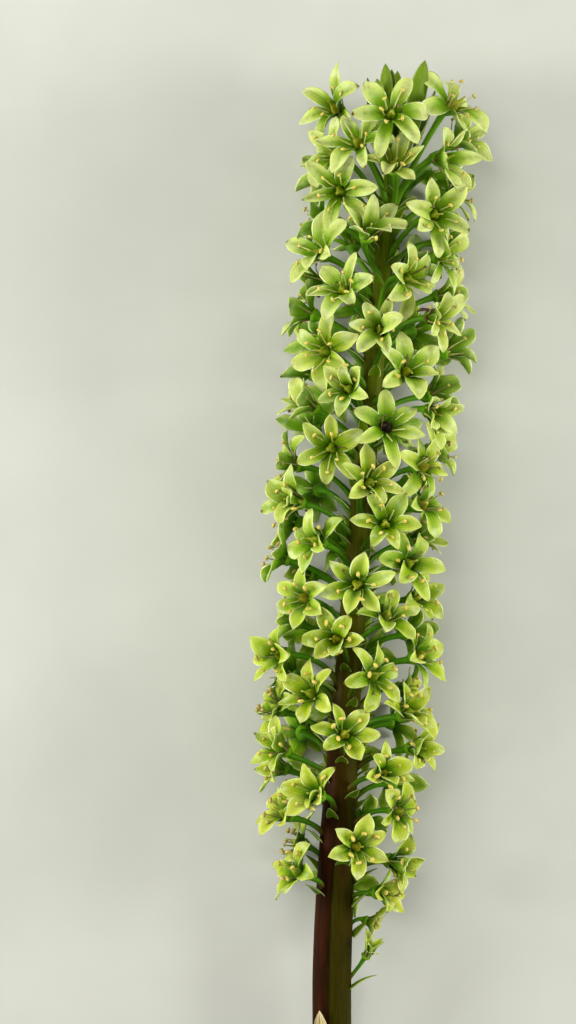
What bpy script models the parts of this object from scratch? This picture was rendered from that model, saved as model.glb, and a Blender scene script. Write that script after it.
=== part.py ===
"""A cut pineapple lily flower stem, laid on a flat surface.

Metres, +Z up. +Y runs along the stem from the cut end to the flowers, +X is to the right as seen from
above with the flowers at the far end. The origin is at the middle of the base of the bounding box.

One thick stem carries a dense spiral of stalked, six-petalled florets, fused to it as they grew, and ends
in a tuft of separate leafy bracts, the coma.
"""

import math

import bmesh
import bpy
import numpy as np

MM = 0.001

# Where the row's origin lies, measured from the middle of the cut end.
ORIGIN = np.array([12.5, 224.5, 0.0]) * MM

# Stem: distances along Y from the cut end.
STEM_LENGTH = 421.0 * MM
BARE_LENGTH = 128.0 * MM
STEM_TAPER_AT = np.array([0.0, 150.0, 185.0, 235.0, 290.0, 390.0, 421.0]) * MM
STEM_TAPER_RADIUS = np.array([7.0, 6.8, 6.2, 4.8, 4.0, 3.4, 2.2]) * MM
STEM_SIDES = 12
STEM_RINGS = 14
HEAD_LEAN = 22.0 * MM  # how far the tip bends towards +X
LEAN_POWER = 1.35
FOOT_HEIGHT = STEM_TAPER_RADIUS[0] * math.cos(math.pi / STEM_SIDES)  # a flat side of the cut end lies down
HEAD_HEIGHT = 24.5 * MM  # stem's centre line over the surface at the tip
ARCH_POWER = 2.2  # how quickly the centre line rises from the cut end

# Florets: stalks leave the stem between these distances from the cut end.
FLORETS = 105
STRAY_AT = np.array([128.5, 146.5, 158.0]) * MM  # the lowest few stand apart on one side, and are small
STRAY_TURN = np.radians([8.0, -18.0, 14.0])
STRAY_REACH = np.array([11.2, 12.0, 15.6]) * MM  # floret's centre from the stem's centre line
STRAY_RISE = np.array([8.8, 3.0, 3.5]) * MM  # and above its stalk's foot
STRAY_LOOK = np.radians([58.0, -20.0, 8.0])  # how far it looks towards the tip
STRAY_GROWTH = np.array([0.52, 0.66, 0.95])
STRAY_OPENING = np.array([0.5, 0.6, 0.95])  # how far they have opened
SPIRAL_SHARE = np.array([0.0, 0.07, 0.905, 1.0])  # shares of the other florets
SPIRAL_AT = np.array([158.0, 184.0, 391.0, 406.0]) * MM  # where those shares of them leave the stem
CROWN_TURN = np.radians([47.0, 24.0, 124.0, -24.0, 197.0, 97.0])  # round the coma, the last one over it
CROWN_REACH = np.array([20.5, 18.0, 21.5, 22.0, 20.0, 21.5]) * MM
CROWN_RISE = np.array([19.0, 35.0, 17.0, 22.0, 29.0, 24.0]) * MM
CROWN_LOOK = np.radians([14.0, 44.0, 20.0, 38.0, 40.0, 22.0])
FIRST_TURN = math.radians(269.0)
TURN_EACH = -math.radians(137.508)  # from one floret to the next, up the stem
TURN_SPREAD = 0.10  # radians
GROWTH_SPREAD = 0.06
REACH = 21.5 * MM  # floret's centre from the stem's centre line
REACH_SPREAD = 2.4 * MM
REACH_FROM = np.array([160.0, 200.0]) * MM  # the head widens between these
REACH_SHARE = np.array([0.70, 1.0])
RISE_AT = np.array([0.0, 0.15, 0.85, 1.0])  # shares of the head, from its foot
RISE = np.array([5.0, 8.5, 12.5, 23.0]) * MM  # floret's centre above its stalk's foot, there
FACE_UP = np.radians([10.0, 14.0, 18.0, 30.0])  # how far a floret looks towards the tip, there
FACE_SPREAD = math.radians(12.0)
FACE_WANDER = 0.22  # sideways
SEED = 257

# One floret, in its own frame: it faces along its third axis.
TEPALS = 6
TEPAL_LENGTH = 12.0 * MM
TEPAL_LENGTH_RANGE = (0.92, 1.06)
TEPAL_HALF_WIDTH = 3.2 * MM
TEPAL_WIDEST = 0.55  # share of the length
TEPAL_OPENING = math.radians(63.0)  # from the way the floret faces
TEPAL_OPENING_SPREAD = 0.10  # radians
TEPAL_FOOT = 1.7 * MM  # ring that the midribs start from
TEPAL_FOOT_HEIGHT = 0.9 * MM
TEPAL_CHANNEL = 0.75 * MM  # edges stand this far above the midrib
TEPAL_THICKNESS = 0.95 * MM
NOTCH_RADIUS = 2.9 * MM  # where neighbouring petals join
NOTCH_HEIGHT = 0.5 * MM
OVARY_HEIGHT = 4.4 * MM
NECK_DEPTH = 2.6 * MM  # stalk meets the floret this far behind it
NECK_RADIUS = 1.55 * MM
STALK_RADIUS = 1.25 * MM
STALK_SIDES = 3
STALK_LEAST = 0.7  # stalks of small florets are no thinner than this share
STALK_START_SLOPE = math.radians(48.0)  # above the stem's normal
STALK_BOW = 0.15  # how far it bows, as a share of its length
ROOT_DEPTH = 1.4 * MM  # how deep a stalk's foot sinks in the stem
AHEAD = np.array([0.0, 0.0, 1.0])

# Settling: how the florets make room for each other and for the surface they lie on.
SETTLE_STEPS = 150
GIVE = 0.16  # share of its pushes that moves a floret in a step
TURN_GIVE = 0.14  # and that turns it
MOST_TURN = 0.12  # radians in a step
SPRING = 0.05  # share of the way back to its own place in the first step, less later
SETTLE_ALONG = np.array([4.5, 8.2, 11.4]) * MM  # feeler points along a petal
SETTLE_SIZES = np.array([2.1, 2.5, 1.8]) * MM
FLOOR_SIZES = np.array([0.6, 0.2, -0.3]) * MM  # petals may press on the surface
CENTRE_HEIGHT = 1.5 * MM
CENTRE_SIZE = 2.7 * MM
BACK_SIZE = 1.7 * MM
STEM_SHARE = 0.8  # share of a feeler's size that it keeps from the stem
NEAR = 28.0 * MM  # florets further apart than this can't touch
STALK_SIZES = np.array([1.2, 1.5, 1.5]) * MM  # feeler points along a stalk: low, middle and upper
STALK_LOW = 0.6  # of the way from its foot to its middle
COMA_GUARD = 2.2 * MM  # the coma's own room

# Small bracts under the lowest stalks: distances from the stalk's foot, along the stem and out from it.
BRACTS = 14
BRACT_HALF_WIDTH = 2.1 * MM
BRACT_FOOT = (-2.6 * MM, -1.0 * MM)
BRACT_INNER = (-0.8 * MM, 0.4 * MM)
BRACT_OUTER = (-2.8 * MM, 0.8 * MM)
BRACT_TIP = (2.1 * MM, 3.4 * MM)

# Coma: leafy bracts in three whorls round the stem's tip, from the outside in.
COMA_WHORLS = (
    # foot along the stem, half width, lean at the foot, lean at the tip (degrees), length of each leaf (mm)
    (411.5 * MM, 4.2 * MM, 27.0, 6.0, (33.0, 35.0, 34.0, 33.0, 41.0)),
    (416.0 * MM, 3.6 * MM, 17.0, 4.0, (33.5, 32.0, 30.0, 26.0)),
    (419.4 * MM, 2.7 * MM, 8.0, 3.0, (28.0, 29.0, 24.0)),
)
COMA_TURN = 0.37  # of a full turn, where each whorl starts
COMA_GAP = 0.3 * MM  # between a leaf's foot and the stem
COMA_THICKNESS = 0.9 * MM
COMA_STATIONS = ((0.0, 0.36), (0.22, 0.62), (0.5, 1.0), (0.82, 0.76))  # along, share of the half width
COMA_CHANNEL = 0.30  # share of the half width that the edges stand inwards

# Colours, and roughness.
STEM_FINISH = ((0.060, 0.030, 0.010, 1.0), 0.45)
FLORET_FINISH = ((0.300, 0.420, 0.090, 1.0), 0.50)
BRACT_FINISH = ((0.150, 0.260, 0.040, 1.0), 0.55)
COMA_FINISH = ((0.100, 0.230, 0.020, 1.0), 0.45)
SMOOTH_UP_TO = math.radians(38.0)  # edges flatter than this are shaded smooth


# The stem's line and thickness


def stem_point(along):
    """The stem's centre line, at distances along Y from the cut end."""
    along = np.asarray(along, float)
    head = np.clip((along - BARE_LENGTH) / (STEM_LENGTH - BARE_LENGTH), 0.0, None)
    arch = 1.0 - np.clip(1.0 - along / STEM_LENGTH, 0.0, 1.0) ** ARCH_POWER
    height = FOOT_HEIGHT + (HEAD_HEIGHT - FOOT_HEIGHT) * arch
    return np.stack([HEAD_LEAN * head**LEAN_POWER, along, height], axis=-1)


def stem_radius(along):
    return np.interp(along, STEM_TAPER_AT, STEM_TAPER_RADIUS)


def unit(vectors):
    return vectors / np.linalg.norm(vectors, axis=-1, keepdims=True)


def stem_frame(along):
    """Unit vectors along the stem, to its side and up from it."""
    step = 1.0 * MM
    forward = unit(stem_point(np.asarray(along) + step) - stem_point(np.asarray(along) - step))
    side = unit(np.cross(forward, [0.0, 0.0, 1.0]))
    return forward, side, np.cross(side, forward)


def around(turn):
    """Unit vector across a floret's own frame, at an angle round the way it faces."""
    return np.array([math.cos(turn), math.sin(turn), 0.0])


def outwards(along, turn):
    """Unit vector from the stem's centre line, at an angle round it: 0 is +X, 90 degrees is up."""
    _, side, up = stem_frame(along)
    return side * np.cos(turn)[..., None] + up * np.sin(turn)[..., None]


# Where each floret sits


def floret_targets():
    """Where each floret would sit if it had all the room it wanted."""
    random = np.random.default_rng(SEED)
    strays, crown = len(STRAY_AT), len(CROWN_TURN)
    number = np.arange(FLORETS) - strays
    share = np.clip(number / number[-1], 0.0, 1.0)
    along = np.interp(share, SPIRAL_SHARE, SPIRAL_AT)
    along[:strays] = STRAY_AT
    turn = FIRST_TURN + TURN_EACH * number + random.normal(0.0, TURN_SPREAD, FLORETS)
    turn[:strays] = STRAY_TURN
    turn[-crown:] = CROWN_TURN
    growth = random.uniform(1.0 - GROWTH_SPREAD, 1.0 + GROWTH_SPREAD, FLORETS)
    growth[:strays] = STRAY_GROWTH
    reach = REACH + REACH_SPREAD * random.uniform(-1.0, 1.0, FLORETS)
    reach *= np.interp(along, REACH_FROM, REACH_SHARE)
    reach[:strays] = STRAY_REACH
    reach[-crown:] = CROWN_REACH
    rise = np.interp(share, RISE_AT, RISE)
    rise[:strays] = STRAY_RISE
    rise[-crown:] = CROWN_RISE
    outward = outwards(along, turn)
    forward, _, _ = stem_frame(along)
    look = np.interp(share, RISE_AT, FACE_UP) + FACE_SPREAD * random.normal(0.0, 1.0, FLORETS)
    look[:strays] = STRAY_LOOK
    look[-crown:] = CROWN_LOOK
    wander = np.cross(forward, outward) * random.normal(0.0, FACE_WANDER, FLORETS)[:, None]
    facing = unit(outward * np.cos(look)[:, None] + forward * np.sin(look)[:, None] + wander)
    spin = random.uniform(0.0, 2.0 * math.pi / TEPALS, FLORETS)
    across = unit(np.cross(facing, forward))
    over = np.cross(facing, across)
    right = across * np.cos(spin)[:, None] + over * np.sin(spin)[:, None]
    return {
        "growth": growth,
        "foot": stem_point(along) + outward * stem_radius(along)[:, None],
        "outward": outward,
        "forward": forward,
        "centre": stem_point(along) + outward * reach[:, None] + forward * rise[:, None],
        "facing": facing,
        "right": right,
        "opening": TEPAL_OPENING + random.normal(0.0, TEPAL_OPENING_SPREAD, (FLORETS, TEPALS)),
        "length": TEPAL_LENGTH * random.uniform(*TEPAL_LENGTH_RANGE, (FLORETS, TEPALS)),
    }


def feelers():
    """Points of a full-grown floret, in its own frame, that keep their distance, with their sizes."""
    turns = np.arange(TEPALS) * 2.0 * math.pi / TEPALS
    rim = np.stack([np.cos(turns), np.sin(turns), np.zeros(TEPALS)], axis=1)
    slope = math.sin(TEPAL_OPENING) * rim + math.cos(TEPAL_OPENING) * AHEAD
    petals = TEPAL_FOOT * rim[:, None] + SETTLE_ALONG[None, :, None] * slope[:, None]
    points = np.concatenate([petals.reshape(-1, 3), [CENTRE_HEIGHT * AHEAD, -NECK_DEPTH * AHEAD]])
    sizes = np.concatenate([np.tile(SETTLE_SIZES, TEPALS), [CENTRE_SIZE, BACK_SIZE]])
    floor = np.concatenate([np.tile(FLOOR_SIZES, TEPALS), [CENTRE_SIZE, BACK_SIZE]])
    return points, sizes, floor


def coma_places():
    """Each leaf's whorl and its number there."""
    return [(whorl, number) for whorl in COMA_WHORLS for number in range(len(whorl[-1]))]


def coma_guard():
    """Points of the coma's leaves that the florets keep clear of."""
    leaves = np.array([coma_leaf_shape(*place)[0] for place in coma_places()])
    rows = leaves[:, : 6 * len(COMA_STATIONS)].reshape(-1, len(COMA_STATIONS), 6, 3)[:, :, :3]
    halfway = (rows[:, :-1] + rows[:, 1:]) / 2.0
    return np.concatenate([rows.reshape(-1, 3), halfway.reshape(-1, 3)])


def stalk_lines(florets, centre, facing):
    """Each stalk's foot inside the stem, its middle and its neck behind the floret."""
    neck = centre - facing * NECK_DEPTH * florets["growth"][:, None]
    root = florets["foot"] - florets["outward"] * ROOT_DEPTH
    leave = florets["outward"] * math.cos(STALK_START_SLOPE) + florets["forward"] * math.sin(STALK_START_SLOPE)
    bow = STALK_BOW * np.linalg.norm(neck - root, axis=1, keepdims=True)
    return root, (root + neck) / 2.0 + bow * (leave - facing), neck


def settled_florets():
    """The florets after they have pushed each other, the stem, the coma and the surface clear."""
    florets = floret_targets()
    points, sizes, floor = feelers()
    guard = coma_guard()
    near_guard = florets["centre"][:, 1] > guard[:, 1].min() - NEAR
    growth = florets["growth"][:, None, None]
    room = np.concatenate([sizes * florets["growth"][:, None], np.tile(STALK_SIZES, (FLORETS, 1))], 1)
    clear = np.concatenate([floor, STALK_SIZES])
    centre, facing, right = (florets[key].copy() for key in ("centre", "facing", "right"))
    for step in range(SETTLE_STEPS):
        pull = 1.0 - step / SETTLE_STEPS
        upright = np.cross(facing, right)
        axes = np.stack([right, upright, facing], axis=2)
        arms = np.einsum("nij,pj->npi", axes, points) * growth
        root, middle, neck = stalk_lines(florets, centre, facing)
        stalk = np.stack([root + STALK_LOW * (middle - root), middle, (middle + neck) / 2.0], axis=1)
        places = np.concatenate([centre[:, None] + arms, stalk], axis=1)
        push = np.zeros_like(places)
        gaps = np.linalg.norm(centre[:, None] - centre[None], axis=2)
        first, second = np.nonzero(np.triu(gaps < NEAR, 1))
        between = places[first][:, :, None] - places[second][:, None]
        apart = np.linalg.norm(between, axis=3) + 1e-9
        wanted = room[first][:, :, None] + room[second][:, None]
        depth = np.clip(wanted - apart, 0.0, None)
        shove = between * (0.5 * depth / apart)[..., None]
        np.add.at(push, first, shove.sum(axis=2))
        np.add.at(push, second, -shove.sum(axis=1))
        push[..., 2] += np.clip(clear - places[..., 2], 0.0, None)
        between = places[near_guard][:, :, None] - guard
        apart = np.linalg.norm(between, axis=3) + 1e-9
        depth = np.clip(room[near_guard][:, :, None] + COMA_GUARD - apart, 0.0, None)
        push[near_guard] += (between * (depth / apart)[..., None]).sum(axis=2)
        rigid = places[:, : len(points)]
        along = np.clip(rigid[..., 1], 0.0, STEM_LENGTH)
        away = rigid - stem_point(along)
        away[..., 1] = 0.0
        distance = np.linalg.norm(away, axis=2) + 1e-9
        inside = np.clip(stem_radius(along) + sizes * STEM_SHARE - distance, 0.0, None)
        push[:, : len(points)] += away * (inside / distance)[..., None]
        centre += push.sum(axis=1) * GIVE
        turn = np.cross(arms, push[:, : len(points)]).sum(axis=1) * (TURN_GIVE / TEPAL_LENGTH**2)
        size = np.linalg.norm(turn, axis=1, keepdims=True) + 1e-9
        turn *= np.minimum(size, MOST_TURN) / size
        facing = unit(facing + np.cross(turn, facing))
        right = right + np.cross(turn, right)
        centre += SPRING * pull * (florets["centre"] - centre)
        facing = unit(facing + SPRING * pull * (florets["facing"] - facing))
        right = unit(right - facing * np.sum(right * facing, axis=1, keepdims=True))
    florets.update(centre=centre, facing=facing, right=right)
    return florets


# Meshes, as lists of corners and of faces


def lifted_clear(corners):
    """Lifts a flower that reaches under the surface until its lowest corner rests on it."""
    return corners + AHEAD * max(0.0, -corners[:, 2].min())


def tepal_corners(turn, opening, length):
    """A petal's foot on its midrib, then its left edge, tip, right edge and keel."""
    rim = around(turn)
    slope = math.sin(opening) * rim + math.cos(opening) * AHEAD
    above = math.sin(opening) * AHEAD - math.cos(opening) * rim
    foot = TEPAL_FOOT * rim + TEPAL_FOOT_HEIGHT * AHEAD
    widest = foot + TEPAL_WIDEST * length * slope
    half = TEPAL_HALF_WIDTH * around(turn + math.pi / 2.0)
    raised = TEPAL_CHANNEL * above
    edges = [widest - half + raised, foot + length * slope, widest + half + raised]
    return foot, edges + [widest - TEPAL_THICKNESS * above]


def flower_corners(openings, lengths):
    """The ovary's tip, the petals' feet, the notches between petals, then each petal's own corners."""
    turns = np.arange(TEPALS) * 2.0 * math.pi / TEPALS
    petals = [tepal_corners(*petal) for petal in zip(turns, openings, lengths)]
    notches = [NOTCH_RADIUS * around(turn + math.pi / TEPALS) + NOTCH_HEIGHT * AHEAD for turn in turns]
    corners = [OVARY_HEIGHT * AHEAD] + [foot for foot, _ in petals] + notches
    for _, own in petals:
        corners += own
    return np.array(corners)


def flower_faces():
    """The faces over those corners; the notches' ring is left open for the stalk."""
    faces = []
    for petal in range(TEPALS):
        foot, next_foot = 1 + petal, 1 + (petal + 1) % TEPALS
        low, high = 1 + TEPALS + (petal - 1) % TEPALS, 1 + TEPALS + petal
        left, tip, right, keel = (1 + 2 * TEPALS + 4 * petal + step for step in range(4))
        faces += [(0, foot, next_foot), (foot, high, next_foot)]
        faces += [(foot, left, tip), (foot, tip, right), (foot, low, left), (foot, right, high)]
        faces += [(keel, left, low), (keel, tip, left), (keel, right, tip), (keel, high, right)]
        faces += [(keel, low, high)]
    return faces


def stalk_corners(line, axes, growth):
    """Rings round a stalk's line, from its foot to its neck."""
    widths = np.array([STALK_RADIUS, STALK_RADIUS, NECK_RADIUS]) * max(growth, STALK_LEAST)
    turns = (2 * np.arange(STALK_SIDES) + 0.5) * math.pi / STALK_SIDES
    rims = np.array([around(turn) for turn in turns]) @ axes
    return np.concatenate([point + width * rims for point, width in zip(line, widths)])


def stalk_faces(first):
    """The stalk's faces, with its foot closed and its neck joined to the notches' ring."""
    foot, middle, neck = (first + STALK_SIDES * ring for ring in range(3))
    faces = [tuple(foot + side for side in reversed(range(STALK_SIDES)))]
    for side in range(STALK_SIDES):
        after = (side + 1) % STALK_SIDES
        low, mid, high = (1 + TEPALS + (2 * side + step) % TEPALS for step in range(3))
        faces += [(neck + side, mid, low), (neck + side, neck + after, mid), (neck + after, high, mid)]
        for ring, over in ((foot, middle), (middle, neck)):
            faces += [(ring + side, ring + after, over + after), (ring + side, over + after, over + side)]
    return faces


def floret_shape(florets, index):
    """One floret with its stalk, as a closed shape: corners and faces."""
    growth, facing, right = (florets[key][index] for key in ("growth", "facing", "right"))
    axes = np.stack([right, np.cross(facing, right), facing])
    closing = STRAY_OPENING[index] if index < len(STRAY_OPENING) else 1.0
    flower = flower_corners(florets["opening"][index] * closing, florets["length"][index])
    flower = lifted_clear(growth * flower @ axes + florets["centre"][index])
    line = [points[index] for points in stalk_lines(florets, florets["centre"], florets["facing"])]
    corners = np.concatenate([flower, stalk_corners(line, axes, growth)])
    return corners, flower_faces() + stalk_faces(len(flower))


def bract_shape(florets, index):
    """The small pointed bract under a stalk's foot."""
    outward, forward = florets["outward"][index], florets["forward"][index]
    aside = np.cross(forward, outward) * BRACT_HALF_WIDTH
    foot, inner, outer, tip = (
        florets["foot"][index] + forward * along + outward * out
        for along, out in (BRACT_FOOT, BRACT_INNER, BRACT_OUTER, BRACT_TIP)
    )
    corners = [foot - aside, foot + aside, tip, inner, outer]
    faces = [(0, 2, 3), (3, 2, 1), (0, 4, 2), (4, 1, 2), (0, 3, 1), (0, 1, 4)]
    return np.array(corners), faces


def stem_shape():
    """The tapering stem, from its square cut end to its narrow tip."""
    along = np.concatenate([[0.0], np.linspace(BARE_LENGTH, STEM_LENGTH, STEM_RINGS - 1)])
    forward, side, up = stem_frame(along)
    corners, faces = [], []
    turns = (np.arange(STEM_SIDES) + 0.5) * 2.0 * math.pi / STEM_SIDES
    for ring, place in enumerate(stem_point(along)):
        radius = stem_radius(along[ring])
        for turn in turns:
            corners.append(place + radius * (math.cos(turn) * side[ring] + math.sin(turn) * up[ring]))
    for ring in range(STEM_RINGS - 1):
        for corner in range(STEM_SIDES):
            after = (corner + 1) % STEM_SIDES
            low, high = ring * STEM_SIDES, (ring + 1) * STEM_SIDES
            faces.append((low + corner, high + corner, high + after, low + after))
    faces.append(tuple(range(STEM_SIDES)))
    faces.append(tuple(reversed(range((STEM_RINGS - 1) * STEM_SIDES, STEM_RINGS * STEM_SIDES))))
    return np.array(corners), faces


def coma_leaf_shape(whorl, number):
    """One leafy bract of the tuft: a channelled blade that leans out and then straightens."""
    at, half_width, lean_foot, lean_tip, lengths = whorl
    length = lengths[number] * MM
    turn = np.array(2.0 * math.pi * (number / len(lengths) + COMA_TURN))
    outward, (forward, _, _) = outwards(at, turn), stem_frame(at)
    aside = np.cross(forward, outward)
    point = stem_point(at) + outward * (stem_radius(at) + COMA_GAP)
    corners, faces = [], []
    reached = 0.0
    for share, width in COMA_STATIONS + ((1.0, 0.0),):
        lean = math.radians(lean_foot + (lean_tip - lean_foot) * (share + reached) / 2.0)
        point = point + length * (share - reached) * (forward * math.cos(lean) + outward * math.sin(lean))
        reached = share
        inwards = forward * math.sin(lean) - outward * math.cos(lean)
        thick = -inwards * COMA_THICKNESS
        if not width:
            corners += [point, point + thick]
            continue
        edge = aside * half_width * width
        raised = inwards * half_width * width * COMA_CHANNEL
        row = [point - edge + raised, point, point + edge + raised]
        corners += row + [corner + thick for corner in row]
    rows = len(COMA_STATIONS)
    for row in range(rows - 1):
        base, over = row * 6, row * 6 + 6
        for column in range(2):
            a, b, c, d = base + column, base + column + 1, over + column + 1, over + column
            faces += [(a, b, c), (a, c, d)]
            faces += [(c + 3, b + 3, a + 3), (d + 3, c + 3, a + 3)]
        faces += [(base, over, over + 3), (base, over + 3, base + 3)]
        faces += [(over + 2, base + 2, base + 5), (over + 2, base + 5, over + 5)]
    last, tip = (rows - 1) * 6, rows * 6
    faces += [(last, last + 1, tip), (last + 1, last + 2, tip)]
    faces += [(last + 4, last + 3, tip + 1), (last + 5, last + 4, tip + 1)]
    faces += [(last + 3, last, tip), (last + 3, tip, tip + 1)]
    faces += [(last + 2, last + 5, tip + 1), (last + 2, tip + 1, tip)]
    faces += [(0, 3, 4), (0, 4, 1), (1, 4, 5), (1, 5, 2)]
    return np.array(corners), faces


# Blender objects


def clear_scene():
    for thing in list(bpy.data.objects):
        bpy.data.objects.remove(thing)


def material(name, finish):
    colour, roughness = finish
    made = bpy.data.materials.new(name)
    made.use_nodes = True
    shader = made.node_tree.nodes["Principled BSDF"]
    shader.inputs["Base Color"].default_value = colour
    shader.inputs["Roughness"].default_value = roughness
    return made


def solid(name, shape, finish, collection):
    """A closed mesh object whose faces point outwards."""
    corners, faces = shape
    mesh = bpy.data.meshes.new(name)
    mesh.from_pydata([tuple(corner) for corner in corners - ORIGIN], [], faces)
    shaped = bmesh.new()
    shaped.from_mesh(mesh)
    bmesh.ops.recalc_face_normals(shaped, faces=shaped.faces)
    if shaped.calc_volume(signed=True) < 0.0:
        bmesh.ops.reverse_faces(shaped, faces=shaped.faces)
    shaped.to_mesh(mesh)
    shaped.free()
    mesh.materials.append(finish)
    smooth(mesh)
    made = bpy.data.objects.new(name, mesh)
    collection.objects.link(made)
    return made


def smooth(mesh):
    mesh.shade_smooth()
    mesh.set_sharp_from_angle(angle=SMOOTH_UP_TO)


def make_flower_stem(florets):
    """The stem with its florets and lowest bracts, all grown together as one body."""
    scene = bpy.context.scene.collection
    stem = solid("flower_stem", stem_shape(), material("burgundy stem", STEM_FINISH), scene)
    grown = bpy.data.collections.new("grown_on_the_stem")
    scene.children.link(grown)
    floret_finish = material("floret", FLORET_FINISH)
    bract_finish = material("bract", BRACT_FINISH)
    for index in range(FLORETS):
        solid(f"floret_{index + 1:03d}", floret_shape(florets, index), floret_finish, grown)
    for index in range(BRACTS):
        solid(f"bract_{index + 1:02d}", bract_shape(florets, index), bract_finish, grown)
    union = stem.modifiers.new("grown together", "BOOLEAN")
    union.operation = "UNION"
    union.operand_type = "COLLECTION"
    union.collection = grown
    union.solver = "MANIFOLD"
    union.material_mode = "TRANSFER"
    graph = bpy.context.evaluated_depsgraph_get()
    fused = bpy.data.meshes.new_from_object(stem.evaluated_get(graph))
    stem.modifiers.clear()
    stem.data = fused
    smooth(fused)
    for thing in list(grown.objects):
        bpy.data.objects.remove(thing)
    bpy.data.collections.remove(grown)


def make_coma():
    """The tuft of leafy bracts at the tip, each a leaf of its own."""
    finish = material("coma leaf", COMA_FINISH)
    for number, place in enumerate(coma_places(), 1):
        solid(f"coma_leaf_{number:02d}", coma_leaf_shape(*place), finish, bpy.context.scene.collection)


def main():
    clear_scene()
    make_flower_stem(settled_florets())
    make_coma()


main()
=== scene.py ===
"""Looks of a cut pineapple lily flower stem, laid on a pale surface and seen from straight above."""

import math

import bpy
import numpy as np
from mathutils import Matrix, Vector


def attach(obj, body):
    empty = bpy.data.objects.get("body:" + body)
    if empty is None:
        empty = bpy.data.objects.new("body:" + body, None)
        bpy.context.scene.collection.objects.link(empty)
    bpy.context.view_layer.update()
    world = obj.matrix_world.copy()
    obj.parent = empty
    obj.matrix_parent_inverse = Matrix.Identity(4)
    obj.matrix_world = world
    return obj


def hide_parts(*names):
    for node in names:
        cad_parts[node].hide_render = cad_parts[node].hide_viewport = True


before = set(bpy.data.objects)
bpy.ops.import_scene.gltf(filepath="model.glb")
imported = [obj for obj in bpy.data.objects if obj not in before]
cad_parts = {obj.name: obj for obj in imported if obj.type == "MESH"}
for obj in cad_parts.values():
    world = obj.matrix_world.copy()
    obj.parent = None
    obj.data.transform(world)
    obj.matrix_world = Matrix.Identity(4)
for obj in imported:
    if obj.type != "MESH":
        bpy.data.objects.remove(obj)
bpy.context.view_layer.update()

MM = 0.001

# Where the row's origin lies, measured from the middle of the cut end.
ORIGIN = np.array([12.5, 224.5, 0.0]) * MM

# Picture: what it covers at the height of the flower head's middle.
VIEW_CENTRE = (-27.9 * MM, 68.8 * MM, 24.0 * MM)
VIEW_HEIGHT = 358.4 * MM
LENS = 120.0
SENSOR = 36.0
FARTHEST_SEEN = 20.0

# Light: the room's, then each lamp's name, place, size (m), power (W), colour and spread (degrees).
ROOM_COLOUR = (1.0, 0.99, 0.86, 1.0)
ROOM_LIGHT = 0.31
LAMPS_AIM = (0.0, 0.08, 0.02)
LAMPS = (
    ("key", (-0.45, 0.55, 1.35), 0.9, 11.0, (1.0, 0.98, 0.86), 180.0),
    ("fill", (0.8, -0.3, 1.2), 1.2, 2.8, (1.0, 1.0, 0.9), 180.0),
    ("left side", (-1.05, 0.1, 0.42), 0.4, 2.0, (1.0, 1.0, 0.87), 70.0),
    ("right side", (1.05, 0.1, 0.42), 0.4, 2.0, (1.0, 1.0, 0.87), 70.0),
)
FLOOR_REACH = 3.0

# Stem, as in the solids: distances along Y from the cut end.
STEM_LENGTH = 421.0 * MM
BARE_LENGTH = 128.0 * MM
STEM_TAPER_AT = np.array([0.0, 150.0, 185.0, 235.0, 290.0, 390.0, 421.0]) * MM
STEM_TAPER_RADIUS = np.array([7.0, 6.8, 6.2, 4.8, 4.0, 3.4, 2.2]) * MM
HEAD_LEAN = 22.0 * MM
LEAN_POWER = 1.35
FOOT_HEIGHT = STEM_TAPER_RADIUS[0] * math.cos(math.pi / 12)
HEAD_HEIGHT = 24.5 * MM
ARCH_POWER = 2.2

# Florets, as in the solids.
FLORETS = 105
STRAY_AT = np.array([128.5, 146.5, 158.0]) * MM
STRAY_TURN = np.radians([8.0, -18.0, 14.0])
STRAY_REACH = np.array([11.2, 12.0, 15.6]) * MM
STRAY_RISE = np.array([8.8, 3.0, 3.5]) * MM
STRAY_LOOK = np.radians([58.0, -20.0, 8.0])
STRAY_GROWTH = np.array([0.52, 0.66, 0.95])
STRAY_OPENING = np.array([0.5, 0.6, 0.95])
SPIRAL_SHARE = np.array([0.0, 0.07, 0.905, 1.0])
SPIRAL_AT = np.array([158.0, 184.0, 391.0, 406.0]) * MM
CROWN_TURN = np.radians([47.0, 24.0, 124.0, -24.0, 197.0, 97.0])
CROWN_REACH = np.array([20.5, 18.0, 21.5, 22.0, 20.0, 21.5]) * MM
CROWN_RISE = np.array([19.0, 35.0, 17.0, 22.0, 29.0, 24.0]) * MM
CROWN_LOOK = np.radians([14.0, 44.0, 20.0, 38.0, 40.0, 22.0])
FIRST_TURN = math.radians(269.0)
TURN_EACH = -math.radians(137.508)
TURN_SPREAD = 0.10
GROWTH_SPREAD = 0.06
REACH = 21.5 * MM
REACH_SPREAD = 2.4 * MM
REACH_FROM = np.array([160.0, 200.0]) * MM
REACH_SHARE = np.array([0.70, 1.0])
RISE_AT = np.array([0.0, 0.15, 0.85, 1.0])
RISE = np.array([5.0, 8.5, 12.5, 23.0]) * MM
FACE_UP = np.radians([10.0, 14.0, 18.0, 30.0])
FACE_SPREAD = math.radians(12.0)
FACE_WANDER = 0.22
SEED = 257
TEPALS = 6
TEPAL_LENGTH = 12.0 * MM
TEPAL_LENGTH_RANGE = (0.92, 1.06)
TEPAL_HALF_WIDTH = 3.2 * MM
TEPAL_WIDEST = 0.55
TEPAL_OPENING = math.radians(63.0)
TEPAL_OPENING_SPREAD = 0.10
TEPAL_FOOT = 1.7 * MM
TEPAL_FOOT_HEIGHT = 0.9 * MM
TEPAL_THICKNESS = 0.95 * MM
NECK_DEPTH = 2.6 * MM
STALK_START_SLOPE = math.radians(48.0)
STALK_BOW = 0.15
ROOT_DEPTH = 1.4 * MM
AHEAD = np.array([0.0, 0.0, 1.0])

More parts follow.
